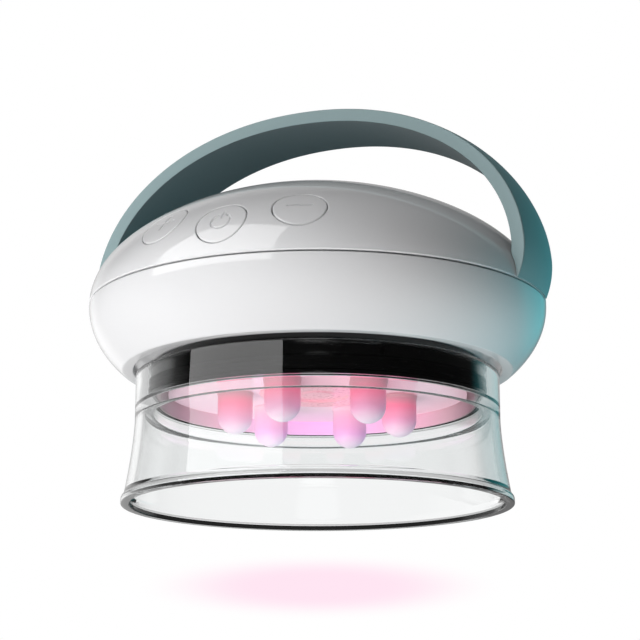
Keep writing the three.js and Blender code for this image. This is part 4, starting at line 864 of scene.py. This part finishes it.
def build_cup(settings):
    """Clear cup: skirt radius = collar + flare (1 - z/top)^power, with lock slots in its inner wall."""
    cup = settings.cup

    def skirt(z):
        """Outer radius of the skirt at a height."""
        return cup.collar + cup.flare * np.maximum(1 - z / cup.flare_top, 0) ** cup.flare_power

    def bead(first, last, steps):
        """Corners on the bead's circle from angle to angle: r = R + b cos(q), z = b (1 + sin(q))."""
        turns = np.linspace(first, last, steps) * DEGREE
        return [(cup.bead_circle + cup.bead * math.cos(q), cup.bead * (1 + math.sin(q)), 0) for q in turns]

    down = np.linspace(cup.flare_top, cup.skirt_foot, 40)
    up = np.linspace(cup.skirt_foot + 0.0003, cup.ledge_low - 0.0008, 40)
    inner_low = skirt(cup.ledge_low) - cup.skirt_wall
    middle = (cup.inner + cup.collar) / 2 - 0.0001
    corners = [(middle, cup.top, 0), (cup.collar, cup.top, 0.00045), (cup.collar, cup.flare_top + 0.002, 0)]
    corners += [(r, z, 0) for r, z in zip(skirt(down), down)]
    corners += bead(50, 0, 9)
    corners += [(cup.bead_circle + side * cup.bead, 0, 0.0003) for side in (1, -1)]
    corners += bead(180, 152, 6)
    corners += [(r, z, 0) for r, z in zip(skirt(up) - cup.skirt_wall, up)]
    corners += [(inner_low, cup.ledge_low, 0.0005), (cup.ledge, cup.ledge_low, 0.0005),
                (cup.ledge, cup.ledge_high, 0.0006), (cup.inner, cup.ledge_high, 0.0004)]
    # A slot's wall steps out over 0.2 mm of height here, and over 0.0036 radians of turn below
    corners += [(cup.inner, z + step, 0) for z in (cup.slot_low, cup.slot_high)
                for step in (-0.0001, 0.0001)]
    corners += [(cup.inner, cup.top, 0.00035), (middle, cup.top, 0)]
    profile = rounded(corners, 6)
    azimuths = list(even_turn(300))
    runs = []
    for first in cup.pin_angle + even_turn(cup.pins):
        entry = first + cup.turn
        runs.append((first - cup.slot_half, entry - cup.slot_half, entry + cup.slot_half))
        azimuths += [(a + step) % (2 * math.pi) for a in runs[-1] for step in (-0.0018, 0.0018)]
    azimuths = np.unique(np.array(azimuths))
    r, z = profile[:, 0, None], profile[:, 1, None]
    turn = azimuths[None, :]
    reach = r + 0 * turn
    cut = (r < cup.slot_outer) & (z > cup.slot_low)
    for first, entry, end in runs:
        run = ((turn - first) % (2 * math.pi) < end - first) & (z < cup.slot_high)
        mouth = (turn - entry) % (2 * math.pi) < end - entry
        reach = np.where(cut & (run | mouth), cup.slot_outer, reach)
    points = np.stack([reach * np.sin(turn), -reach * np.cos(turn), z + 0 * turn], -1)
    made = make_object("clear_cup", [grid(points, wrap=True)], "suction_cup", replaces=["suction_cup"],
                       sharp=40)
    # Faces near the bead's inner edge are marked for the painted dark shade
    x, y, z = face_vectors(made, "center").T
    near = np.hypot(x, y) < cup.bead_circle - cup.bead + cup.edge_shade_reach
    mark_faces(made, "rim_line", near & (z < cup.edge_shade_top))
    return made


def build_neck(settings):
    """Black neck with its deck, bearing hub, seal groove and lock pins."""
    neck, cup = settings.neck, settings.cup
    groove = neck.seal_inner - neck.groove_depth
    groove_low, groove_high = neck.seal_low - neck.groove_gap, neck.seal_high + neck.groove_gap
    body = lathe([(neck.inner, neck.deck_low - 0.002, 0), (neck.inner, neck.low, 0.0003),
                  (neck.radius, neck.low, 0.0004), (neck.radius, groove_low, 0.0001),
                  (groove, groove_low, 0.0001), (groove, groove_high, 0.0001),
                  (neck.radius, groove_high, 0.0001), (neck.radius, neck.deck_high, 0.0004),
                  (neck.hub_outer, neck.deck_high, 0.0004), (neck.hub_outer, neck.hub_top, 0.0003),
                  (neck.hub_inner, neck.hub_top, 0.0003), (neck.hub_inner, neck.deck_low, 0.0003),
                  (neck.inner, neck.deck_low, 0.0004), (neck.inner, neck.deck_low - 0.002, 0)], 320, 4)
    patches = [body]
    pin = rounded([(0, -neck.pin_root, 0), (neck.pin_radius, -neck.pin_root, 0),
                   (neck.pin_radius, neck.pin_reach, 0.0003), (0, neck.pin_reach, 0)], 4)
    r, z = pin[:, :1], pin[:, 1:]
    round_turn = even_turn(32)[None, :]
    for first in even_turn(cup.pins):
        place = upright_place(outward(cup.pin_angle + first), neck.radius, neck.pin_height)
        points = at_place(place, r * np.cos(round_turn), r * np.sin(round_turn), z + 0 * round_turn)
        patches.append(grid(points, wrap=True))
    return make_object("neck", patches, "housing", replaces=["neck_ring"])


def build_seal(settings):
    """Rubber seal with two lips round the neck."""
    neck = settings.neck
    low, high, inner, outer = neck.seal_low, neck.seal_high, neck.seal_inner, neck.seal_outer
    lip, dip = neck.seal_lip, neck.seal_dip
    patches = [lathe([(inner, (low + high) / 2, 0), (inner, low, 0.0001), (outer, low, 0.0002),
                      (outer, low + lip, 0.0002), (outer - dip, low + lip + dip, 0.0002),
                      (outer - dip, high - lip - dip, 0.0002), (outer, high - lip, 0.0002),
                      (outer, high, 0.0002), (inner, high, 0.0001), (inner, (low + high) / 2, 0)], 320, 4)]
    return make_object("seal", patches, "housing", replaces=["cup_seal"])


def build_lining(settings):
    """Milky ring that lines the neck and glows."""
    neck = settings.neck
    inner, outer, low, high = neck.lining_inner, neck.lining_outer, neck.low, neck.lining_top
    middle = (low + high) / 2
    patches = [lathe([(inner, middle, 0), (inner, low, 0.0003), (outer, low, 0.0003), (outer, high, 0.0002),
                      (inner, high, 0.0002), (inner, middle, 0)], 320, 4)]
    return make_object("lighted_lining", patches, "housing", replaces=["light_ring"])


def build_plate(settings):
    """Turning plate with the recess for its cap and the boss for the shaft."""
    head = settings.head
    recess = head.cap + 0.0003
    floor = head.face + head.step
    patches = [lathe([(0, floor, 0), (recess, floor, 0.0002), (recess, head.face, 0.0003),
                      (head.plate, head.face, 0.0006), (head.plate, head.top, 0.0004),
                      (head.boss, head.top, 0.0003), (head.boss, head.boss_top, 0.0002),
                      (head.bore, head.boss_top, 0.0002), (head.bore, floor + 0.0005, 0.0001),
                      (0, floor + 0.0005, 0)], 320, 4)]
    return make_object("plate", patches, "massage_head", replaces=["massage_plate"])


def build_hub_cap(settings):
    """Stepped round cap in the middle of the plate."""
    head = settings.head
    thick = head.cap_top - head.cap_low
    step = head.cap_low + thick / 2
    middle = head.cap_low + thick / 4
    patches = [lathe([(0, middle, 0), (0.8 * head.cap_boss, middle, 0.0005), (head.cap_boss, step, 0.0002),
                      (head.cap_ring - thick / 4, step, 0.0002),
                      (head.cap_ring + thick / 4, head.cap_low, 0.0002),
                      (head.cap - thick / 2, head.cap_low, 0.0004), (head.cap, step, 0.0004),
                      (head.cap, head.cap_top, 0.0001), (0, head.cap_top, 0)], 200, 5)]
    return make_object("cap", patches, "massage_head", replaces=["hub_cap"])


def build_fingers(settings):
    """Soft fingers: half-round tip r sin(q), r (1 - cos(q)), straight side, flared root and a stem."""
    head = settings.head
    r, base = head.finger, head.finger_base
    tip = base - head.finger_length
    tip_turn = np.linspace(0, math.pi / 2, 28)
    stem_top, stem = head.top + 0.0003, head.finger_stem
    lock, lock_top = stem + head.finger_lock, stem_top + head.finger_root
    corners = [(r * math.sin(q), tip + r * (1 - math.cos(q)), 0) for q in tip_turn]
    corners += [(r, base - head.finger_root, 0.001), (r + head.finger_root / 3, base, 0.0002),
                (stem, base, 0.0002), (stem, stem_top, 0.0002), (lock, stem_top, 0.0002),
                (lock, lock_top, 0.0004), (0, lock_top, 0)]
    finger = lathe(corners, 96, 4)
    made = []
    for i, turn in enumerate(even_turn(head.finger_count), 1):
        patches = [moved(finger, head.finger_circle * outward(turn))]
        made.append(make_object(f"finger_{i}", patches, "massage_head", replaces=[f"massage_finger_{i}"]))
    return made


def build_inlet(settings):
    """Steel shell of the charging inlet with its tongue."""
    inlet = settings.inlet
    place = upright_place((0, 1, 0), inlet.face, inlet.level)
    outline = slot_outline(inlet.width / 2, inlet.height / 2)
    turn = even_turn(120)
    back = -inlet.depth
    chamfer = 0.0001
    rows = []
    for grow, z in ((None, back + inlet.wall), (-inlet.wall, back + inlet.wall), (-inlet.wall, -chamfer),
                    (-0.75 * inlet.wall, 0), (-0.25 * inlet.wall, 0), (0, -chamfer), (0, back),
                    (None, back)):
        x, y = outline(turn, grow) if grow is not None else (0 * turn, 0 * turn)
        rows.append(at_place(place, x, y, z + 0 * turn))
    centre = (0, inlet.face - 0.6 * inlet.depth, inlet.level)
    tongue = block((2 / 3 * inlet.width, 0.78 * inlet.depth, 2 * inlet.wall), centre, 0.0002)
    return make_object("inlet", [grid(np.stack(rows), wrap=True), tongue], "housing",
                       replaces=["charge_inlet"])


# Materials

def new_material(name):
    """An empty node material with its output, a Principled shader and Object coordinates."""
    made = bpy.data.materials.new(name)
    made.use_nodes = True
    nodes, links = made.node_tree.nodes, made.node_tree.links
    nodes.clear()
    output = nodes.new("ShaderNodeOutputMaterial")
    shader = nodes.new("ShaderNodeBsdfPrincipled")
    place = nodes.new("ShaderNodeTexCoord")
    links.new(shader.outputs["BSDF"], output.inputs["Surface"])
    return made, nodes, links, shader, place.outputs["Object"], output


def fine_noise(nodes, links, place, shader, scale, detail, low, high):
    """A noise that carries the roughness from low to high."""
    noise = nodes.new("ShaderNodeTexNoise")
    noise.inputs["Scale"].default_value = scale
    noise.inputs["Detail"].default_value = detail
    links.new(place, noise.inputs["Vector"])
    spread_out = nodes.new("ShaderNodeMapRange")
    spread_out.inputs["To Min"].default_value = low
    spread_out.inputs["To Max"].default_value = high
    links.new(noise.outputs["Fac"], spread_out.inputs["Value"])
    links.new(spread_out.outputs["Result"], shader.inputs["Roughness"])
    return noise.outputs["Fac"]


def tint_mix(nodes, links, factor, low, high):
    """A mix of two colours by a factor; low may be the output of another node."""
    mix = nodes.new("ShaderNodeMix")
    mix.data_type = "RGBA"
    if isinstance(low, bpy.types.NodeSocket):
        links.new(low, mix.inputs["A"])
    else:
        mix.inputs["A"].default_value = (*low, 1)
    mix.inputs["B"].default_value = (*high, 1)
    links.new(factor, mix.inputs["Factor"])
    return mix.outputs["Result"]


def marked_tint(nodes, links, attribute, plain, tint):
    """A tint on the faces that an attribute marks, and the plain colour on the others."""
    mask = nodes.new("ShaderNodeAttribute")
    mask.attribute_name = attribute
    return tint_mix(nodes, links, mask.outputs["Fac"], plain, tint)


def fill_ramp(ramp, stops):
    """Gives a colour ramp its stops; a plain number stands for a grey."""
    for i, (position, tint) in enumerate(stops):
        stop = ramp.color_ramp.elements[i] if i < 2 else ramp.color_ramp.elements.new(position)
        stop.position = position
        stop.color = (*np.broadcast_to(tint, 3), 1)


def vector_math(nodes, links, operation, first, second=None):
    """A vector operation on a node's output and on a second output or constant."""
    made = nodes.new("ShaderNodeVectorMath")
    made.operation = operation
    links.new(first, made.inputs[0])
    if isinstance(second, bpy.types.NodeSocket):
        links.new(second, made.inputs[1])
    elif second is not None:
        made.inputs[1].default_value = second
    return made.outputs["Value" if operation in ("DOT_PRODUCT", "LENGTH") else "Vector"]


def surface(name, tint, roughness, metallic=0.0, coat=0.0, grain=900.0, relief=0.0, vary=0.04, glow=0.0,
            specular=0.5, second=None):
    """A Principled surface with a noise on its roughness, tone and relief; second is a marked tint, and
    glow a painted glow in its tint.
    """
    made, nodes, links, shader, place, _ = new_material(name)
    shader.inputs["Metallic"].default_value = metallic
    shader.inputs["Coat Weight"].default_value = coat
    shader.inputs["Coat Roughness"].default_value = 0.04
    shader.inputs["Specular IOR Level"].default_value = specular
    noise = fine_noise(nodes, links, place, shader, grain, 3.0, max(roughness - vary, 0.0),
                       roughness + vary)
    finished = tint_mix(nodes, links, noise, [c * 0.985 for c in tint], tint)
    if second:
        finished = marked_tint(nodes, links, second[0], finished, second[1])
    links.new(finished, shader.inputs["Base Color"])
    if relief:
        bump = nodes.new("ShaderNodeBump")
        bump.inputs["Strength"].default_value = 0.35
        bump.inputs["Distance"].default_value = relief
        links.new(noise, bump.inputs["Height"])
        links.new(bump.outputs["Normal"], shader.inputs["Normal"])
    if glow:
        shader.inputs["Emission Color"].default_value = (*tint, 1)
        shader.inputs["Emission Strength"].default_value = glow
    return made


def clear_surface(name, tint, edge_shade_tint, ior):
    """Clear plastic: refracting, with a painted dark shade in a band at the bead's inner edge, and open to
    shadow rays.
    """
    made, nodes, links, shader, place, output = new_material(name)
    finished = marked_tint(nodes, links, "rim_line", tint, edge_shade_tint)
    links.new(finished, shader.inputs["Base Color"])
    shader.inputs["Transmission Weight"].default_value = 1.0
    shader.inputs["IOR"].default_value = ior
    fine_noise(nodes, links, place, shader, 500.0, 2.0, 0.0, 0.02)
    through = nodes.new("ShaderNodeBsdfTransparent")
    mix = nodes.new("ShaderNodeMixShader")
    rays = nodes.new("ShaderNodeLightPath")
    links.new(rays.outputs["Is Shadow Ray"], mix.inputs["Fac"])
    links.new(shader.outputs["BSDF"], mix.inputs[1])
    links.new(through.outputs["BSDF"], mix.inputs[2])
    links.new(mix.outputs["Shader"], output.inputs["Surface"])
    return made


def graded_surface(name, stops, axis, low, high, roughness, glow):
    """A surface whose tint follows the stops as its place's dot product with an axis runs low to high."""
    made, nodes, links, shader, place, _ = new_material(name)
    shader.inputs["Roughness"].default_value = roughness
    level = nodes.new("ShaderNodeMapRange")
    level.inputs["From Min"].default_value = low
    level.inputs["From Max"].default_value = high
    ramp = nodes.new("ShaderNodeValToRGB")
    fill_ramp(ramp, stops)
    links.new(vector_math(nodes, links, "DOT_PRODUCT", place, axis), level.inputs["Value"])
    links.new(level.outputs["Result"], ramp.inputs["Fac"])
    links.new(ramp.outputs["Color"], shader.inputs["Base Color"])
    links.new(ramp.outputs["Color"], shader.inputs["Emission Color"])
    shader.inputs["Emission Strength"].default_value = glow
    return made


def dress(obj, material):
    """Gives an object one material."""
    obj.data.materials.clear()
    obj.data.materials.append(material)


# The fingers, counted from 0, that stand nearest to the lighted side of the lining at rest; the lining's
# lavender light is painted into their tint
LINING_LIT_FINGERS = (3, 4)

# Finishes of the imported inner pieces: tint, roughness, metallic, grain, relief
INNER_FINISHES = {
    "screw_steel": ((0.50, 0.51, 0.53), 0.32, 1.0, 1500.0, 0.00002),
    "shaft_steel": ((0.55, 0.56, 0.58), 0.24, 1.0, 1200.0, 0.00001),
    "bronze": ((0.52, 0.33, 0.13), 0.40, 1.0, 2500.0, 0.00003),
    "gear_nylon": ((0.80, 0.77, 0.68), 0.50, 0.0, 1200.0, 0.00002),
    "motor_case": ((0.45, 0.46, 0.48), 0.36, 1.0, 900.0, 0.00002),
    "board_green": ((0.020, 0.110, 0.045), 0.42, 0.0, 700.0, 0.00003),
    "board_white": ((0.75, 0.75, 0.73), 0.45, 0.0, 700.0, 0.00002),
    "dark_plastic": ((0.030, 0.032, 0.035), 0.45, 0.0, 1600.0, 0.00004),
    "hose_silicone": ((0.70, 0.71, 0.70), 0.35, 0.0, 400.0, 0.00001),
    "cell_wrap": ((0.06, 0.18, 0.32), 0.30, 0.0, 300.0, 0.00001),
    "inlet_steel": ((0.60, 0.61, 0.63), 0.28, 1.0, 1500.0, 0.00001),
}


def inner_finish(name, slot):
    """The surface of a slot that INNER_FINISHES lists."""
    tint, roughness, metallic, grain, relief = INNER_FINISHES[slot]
    return surface(name, tint, roughness, metallic=metallic, grain=grain, relief=relief)


class Builder(bpy.types.Operator):
    """Shared part of the operators that build pieces."""
    bl_options = {"REGISTER", "UNDO"}

    def execute(self, context):
        made = self.build(context.scene.massager)
        if not made:
            raise RuntimeError(f"{self.bl_idname} made nothing")
        return {"FINISHED"}


class MASSAGER_OT_shells(Builder):
    """Build the two white shells of the housing"""
    bl_idname = "massager.shells"
    bl_label = "Shells"

    def build(self, settings):
        made = [build_upper_shell(settings), build_lower_shell(settings)]
        white = surface("gloss_white", settings.colours.shell, 0.5, coat=1.0, vary=0.03, specular=0.1)
        for piece in made:
            dress(piece, white)
        return made


class MASSAGER_OT_handle(Builder):
    """Build the arched handle"""
    bl_idname = "massager.handle"
    bl_label = "Handle"

    def build(self, settings):
        made, colours = build_handle(settings), settings.colours
        # The inner faces get a painted shade, a darker slate tint in place of the shade under the arch
        dress(made, surface("satin_teal", colours.handle, 0.5, relief=0.000004, specular=0.25,
                            second=("inner", colours.handle_inner_shade)))
        return made


class MASSAGER_OT_keys(Builder):
    """Build the plus, power and minus keys"""
    bl_idname = "massager.keys"
    bl_label = "Keys"

    def build(self, settings):
        made = [build_key(settings, name) for name in ("plus", "power", "minus")]
        white = surface("key_white", settings.colours.shell, 0.5, coat=0.8, vary=0.03, specular=0.1)
        for piece in made:
            dress(piece, white)
        return made


class MASSAGER_OT_cup(Builder):
    """Build the clear suction cup"""
    bl_idname = "massager.cup"
    bl_label = "Cup"

    def build(self, settings):
        made = build_cup(settings)
        dress(made, clear_surface("clear_plastic", settings.colours.cup, settings.colours.cup_edge_shade, 1.49))
        return made


class MASSAGER_OT_neck(Builder):
    """Build the neck, its seal and its lighted lining"""
    bl_idname = "massager.neck"
    bl_label = "Neck"

    def build(self, settings):
        colours = settings.colours
        neck, seal, lining = build_neck(settings), build_seal(settings), build_lining(settings)
        dress(neck, surface("gloss_black", colours.neck, 0.04, vary=0.02, specular=0.5))
        dress(seal, surface("rubber_black", colours.rubber, 0.75, grain=2500.0, relief=0.00001,
                            specular=0.1))
        # The lining glows as a lighted ring; its gradient along the camera's direction at rest is painted
        # light on the far side and painted shade on the near side
        stops = ((0.0, colours.lining_shaded), (1.0, colours.lining), (0.45, colours.lining_half_lit),
                 (0.75, colours.lining_lit))
        away_from_camera, far = (-0.407, 0.914, 0.0), settings.neck.lining_inner
        dress(lining, graded_surface("milky_light", stops, away_from_camera, 0.1 * far, far, 0.35, 0.35))
        return [neck, seal, lining]


class MASSAGER_OT_head(Builder):
    """Build the turning plate, its cap and its fingers"""
    bl_idname = "massager.head"
    bl_label = "Head"

    def build(self, settings):
        colours, head = settings.colours, settings.head
        plate, cap, fingers = build_plate(settings), build_hub_cap(settings), build_fingers(settings)
        # Painted light: the plate and the cap glow in their own tints, though they are no lamps
        dress(plate, surface("pale_pink", colours.plate, 0.32, coat=0.15, glow=0.26))
        dress(cap, surface("rose_pink", colours.cap, 0.28, coat=0.3, glow=0.28))
        tip_level, upward = head.finger_base - head.finger_length, (0, 0, 1)
        # Painted light: the lavender set paints the lining's light onto the fingers nearest its lighted
        # side
        tints = {"soft_pink": (colours.finger_low, colours.finger_high, colours.finger_root),
                 "soft_lavender": (colours.lit_far_low, colours.lit_far_high, colours.lit_far_root)}
        soft = []
        for name, (low, high, root) in tints.items():
            # Painted light: every finger glows in its tint, which brightens the tips that face down and
            # would lie in shade
            stops = ((0.0, colours.finger_tip), (0.95, root), (0.3, low), (0.7, high))
            soft.append(graded_surface(name, stops, upward, tip_level, head.finger_base, 0.4, 0.2))
        for i, finger in enumerate(fingers):
            dress(finger, soft[i in LINING_LIT_FINGERS])
        return [plate, cap, *fingers]


class MASSAGER_OT_inlet(Builder):
    """Build the charging inlet"""
    bl_idname = "massager.inlet"
    bl_label = "Inlet"

    def build(self, settings):
        made = build_inlet(settings)
        dress(made, inner_finish("steel_inlet", "inlet_steel"))
        return made


class MASSAGER_OT_inner_finishes(Builder):
    """Give every packed inner piece its finish"""
    bl_idname = "massager.inner_finishes"
    bl_label = "Inner finishes"

    def build(self, settings):
        slots = {part["node"]: part["material_slot"] for part in frame["record"]["subparts"]}
        finishes, dressed = {}, []
        for name, node in frame["nodes"].items():
            if node.hide_render:
                continue
            slot = slots[name]
            if slot not in finishes:
                finishes[slot] = inner_finish(f"inner_{slot}", slot)
            dress(node, finishes[slot])
            dressed.append(node)
        return dressed


# The stage

def look_from(name, place, target, power, size, glossy, matt):
    """An area lamp at a place, turned to its target; glossy and matt say which surfaces it reaches."""
    data = bpy.data.lights.new(name, "AREA")
    data.energy = power
    data.shape = "RECTANGLE"
    data.size, data.size_y = size
    lamp = bpy.data.objects.new(name, data)
    lamp.location = place
    lamp.rotation_euler = (Vector(target) - Vector(place)).to_track_quat("-Z", "Y").to_euler()
    lamp.visible_glossy, lamp.visible_diffuse, lamp.visible_transmission = glossy, matt, False
    bpy.context.scene.collection.objects.link(lamp)
    return lamp


def around(azimuth, elevation, distance, height):
    """The place at an azimuth from the front, an elevation and a distance d from the axis at a height:
    x = d cos(e) sin(a), y = -d cos(e) cos(a), z = height + d sin(e)."""
    a, e = azimuth * DEGREE, elevation * DEGREE
    flat = distance * math.cos(e)
    return flat * math.sin(a), -flat * math.cos(a), height + distance * math.sin(e)


def painted_light_blush(nodes, links, outward, stage, ahead, right, above):
    """White with a painted pool of the head's pink light, the blush, in an ellipse: the ray's offset from
    the ellipse's middle, along the picture's axes and divided by the half sizes, has a length that fades
    the blush into white."""
    cos, sin = math.cos(stage.blush_down), math.sin(stage.blush_down)
    middle = cos * ahead - sin * above
    offset = vector_math(nodes, links, "SUBTRACT", outward, middle)
    flat = nodes.new("ShaderNodeCombineXYZ")
    for name, axis in (("X", right), ("Y", cos * above + sin * ahead), ("Z", middle)):
        links.new(vector_math(nodes, links, "DOT_PRODUCT", offset, axis), flat.inputs[name])
    scaled = vector_math(nodes, links, "MULTIPLY", flat.outputs["Vector"],
                         (1 / stage.blush_width, 1 / stage.blush_height, 1))
    fade = nodes.new("ShaderNodeMapRange")
    fade.interpolation_type = "SMOOTHERSTEP"
    fade.inputs["From Min"].default_value = stage.blush_core
    links.new(vector_math(nodes, links, "LENGTH", scaled), fade.inputs["Value"])
    return tint_mix(nodes, links, fade.outputs["Result"], stage.blush, (1, 1, 1))


def make_world(scene, stage, ahead, right, above):
    """A world that each kind of ray sees in its own way: white with a painted blush of the head's pink
    light for the camera, a weak even light for matt surfaces, a glow behind the object for glossy ones and
    a backdrop for clear ones."""
    world = bpy.data.worlds.new("studio")
    scene.world = world
    world.use_nodes = True
    nodes, links = world.node_tree.nodes, world.node_tree.links
    nodes.clear()
    output = nodes.new("ShaderNodeOutputWorld")
    rays = nodes.new("ShaderNodeLightPath")
    outward = nodes.new("ShaderNodeTexCoord").outputs["Generated"]

    def graded(axis, *stops):
        """A colour that follows the stops by the dot product of a ray's direction with an axis."""
        ramp = nodes.new("ShaderNodeValToRGB")
        fill_ramp(ramp, stops)
        links.new(vector_math(nodes, links, "DOT_PRODUCT", outward, axis.normalized()), ramp.inputs["Fac"])
        return ramp.outputs["Color"]

    def joined(operation, first, second):
        """The sum or the product of two colours."""
        return vector_math(nodes, links, operation, first, second)

    def background(tint=None, strength=1.0):
        """A background of a colour, or of white."""
        made = nodes.new("ShaderNodeBackground")
        made.inputs["Color"].default_value = (1, 1, 1, 1)
        made.inputs["Strength"].default_value = strength
        if tint:
            links.new(tint, made.inputs["Color"])
        return made.outputs["Background"]

    def chosen(ray, others, own):
        """One background for a kind of ray and another for the others."""
        mix = nodes.new("ShaderNodeMixShader")
        links.new(rays.outputs[ray], mix.inputs["Fac"])
        links.new(others, mix.inputs[1])
        links.new(own, mix.inputs[2])
        return mix.outputs["Shader"]

    # Glossy surfaces mirror a glow behind the object, stronger at the left, and zones low left and right
    behind = graded(ahead, (0.74, 0.0), (0.89, 1.0))
    leftward = graded(ahead - right, (0.30, 0.08), (0.70, 0.42), (0.97, 0.80))
    low_left = graded(0.5 * ahead - 0.7 * right - Vector((0, 0, 0.5)), (0.6, 0.0), (0.9, 1.0))
    rightward = graded(ahead + 0.9 * right, (0.90, 0.0), (0.97, stage.rim_zone))
    glow = joined("ADD", joined("MULTIPLY", behind, leftward), joined("ADD", low_left, rightward))

    # Clear surfaces show a white backdrop in darker surroundings, and white again behind the camera
    backdrop = graded(ahead - 0.16 * right + 0.12 * above, (0.40, stage.dark), (0.52, stage.between),
                      (0.91, stage.between), (0.93, 1.0))
    clear = joined("ADD", backdrop, graded(-ahead, (0.965, 0.0), (0.98, 0.97)))

    shader = chosen("Is Glossy Ray", background(strength=stage.ambient), background(glow))
    shader = chosen("Is Transmission Ray", shader, background(clear))
    blush = painted_light_blush(nodes, links, outward, stage, ahead, right, above)
    links.new(chosen("Is Camera Ray", shader, background(blush)), output.inputs["Surface"])


# Lamps: azimuth, elevation and distance, size, upright, teal, reaches glossy ones, reaches matt ones
LAMPS = (
    ("softbox", (-34, 34.5, 1.0), (0.94, 1.06), False, False, False, True),
    ("panel", (-28.75, 46.9, 1.465), (1.24, 1.96), True, False, True, False),
    ("low_left", (-36, -25, 1.0), (1.2, 0.7), False, False, False, True),
    ("below", (-10, -45, 0.9), (1.0, 0.8), False, False, False, True),
    ("top", (-20, 75, 1.0), (0.8, 0.8), False, False, False, True),
    ("left", (-100, 0, 1.0), (0.9, 0.9), False, False, False, True),
    ("rim", (150, -10, 0.9), (0.8, 1.0), False, True, False, True),
)


class MASSAGER_OT_stage(bpy.types.Operator):
    """Set the camera, the lamps and the background"""
    bl_idname = "massager.stage"
    bl_label = "Stage"
    bl_options = {"REGISTER", "UNDO"}

    def execute(self, context):
        scene, stage = context.scene, context.scene.massager.stage
        scene.view_settings.view_transform = "Standard"
        turn, tilt = stage.camera_turn, stage.camera_tilt
        ahead = Vector((-math.cos(tilt) * math.sin(turn), math.cos(tilt) * math.cos(turn), math.sin(tilt)))
        right = Vector((ahead.y, -ahead.x, 0)).normalized()
        above = right.cross(ahead)
        camera = bpy.data.objects.new("camera", bpy.data.cameras.new("camera"))
        camera.data.lens, camera.data.sensor_width = stage.lens, 36.0
        camera.data.clip_start, camera.data.clip_end = 0.01, 20.0
        turned_to = Matrix((right, above, -ahead)).transposed().to_4x4()
        camera.matrix_world = Matrix.Translation(stage.camera_place) @ turned_to
        scene.collection.objects.link(camera)
        scene.camera = camera

        for name, place, size, upright, tint, glossy, matt in LAMPS:
            spot = around(*place, stage.aim)
            target = (0, 0, spot[2] if upright else stage.aim)
            lamp = look_from(name, spot, target, getattr(stage, name), size, glossy, matt)
            lamp.data.color = stage.rim_tint if tint else (1, 1, 1)
        make_world(scene, stage, ahead, right, above)
        if scene.camera is None:
            raise RuntimeError("the stage has no camera")
        return {"FINISHED"}


class MASSAGER_PT_panel(bpy.types.Panel):
    """Sidebar panel with the operators and the settings"""
    bl_idname = "MASSAGER_PT_panel"
    bl_label = "Massager"
    bl_space_type = "VIEW_3D"
    bl_region_type = "UI"
    bl_category = "Massager"

    def draw(self, context):
        for operator in OPERATORS:
            self.layout.operator(operator.bl_idname)
        settings = context.scene.massager
        for group in MassagerSettings.__annotations__:
            box = self.layout.box()
            box.label(text=group.capitalize())
            owner = getattr(settings, group)
            for name in owner.__annotations__:
                box.prop(owner, name)


GROUPS = (HousingSizes, HandleSizes, KeySizes, CupSizes, NeckSizes, HeadSizes, InletSizes, Colours,
          StageSettings, MassagerSettings)
OPERATORS = (MASSAGER_OT_shells, MASSAGER_OT_handle, MASSAGER_OT_keys, MASSAGER_OT_cup, MASSAGER_OT_neck,
             MASSAGER_OT_head, MASSAGER_OT_inlet, MASSAGER_OT_inner_finishes, MASSAGER_OT_stage)
CLASSES = (*GROUPS, *OPERATORS, MASSAGER_PT_panel)


def register():
    """Register the classes and put the settings on the scene."""
    for item in CLASSES:
        bpy.utils.register_class(item)
    bpy.types.Scene.massager = PointerProperty(type=MassagerSettings)


def unregister():
    """Take the settings and the classes away again."""
    del bpy.types.Scene.massager
    for item in reversed(CLASSES):
        bpy.utils.unregister_class(item)


def main():
    register()
    for operator in OPERATORS:
        group, name = operator.bl_idname.split(".")
        if getattr(getattr(bpy.ops, group), name)() != {"FINISHED"}:
            raise RuntimeError(f"{operator.bl_idname} did not finish")


if __name__ == "__main__":
    main()
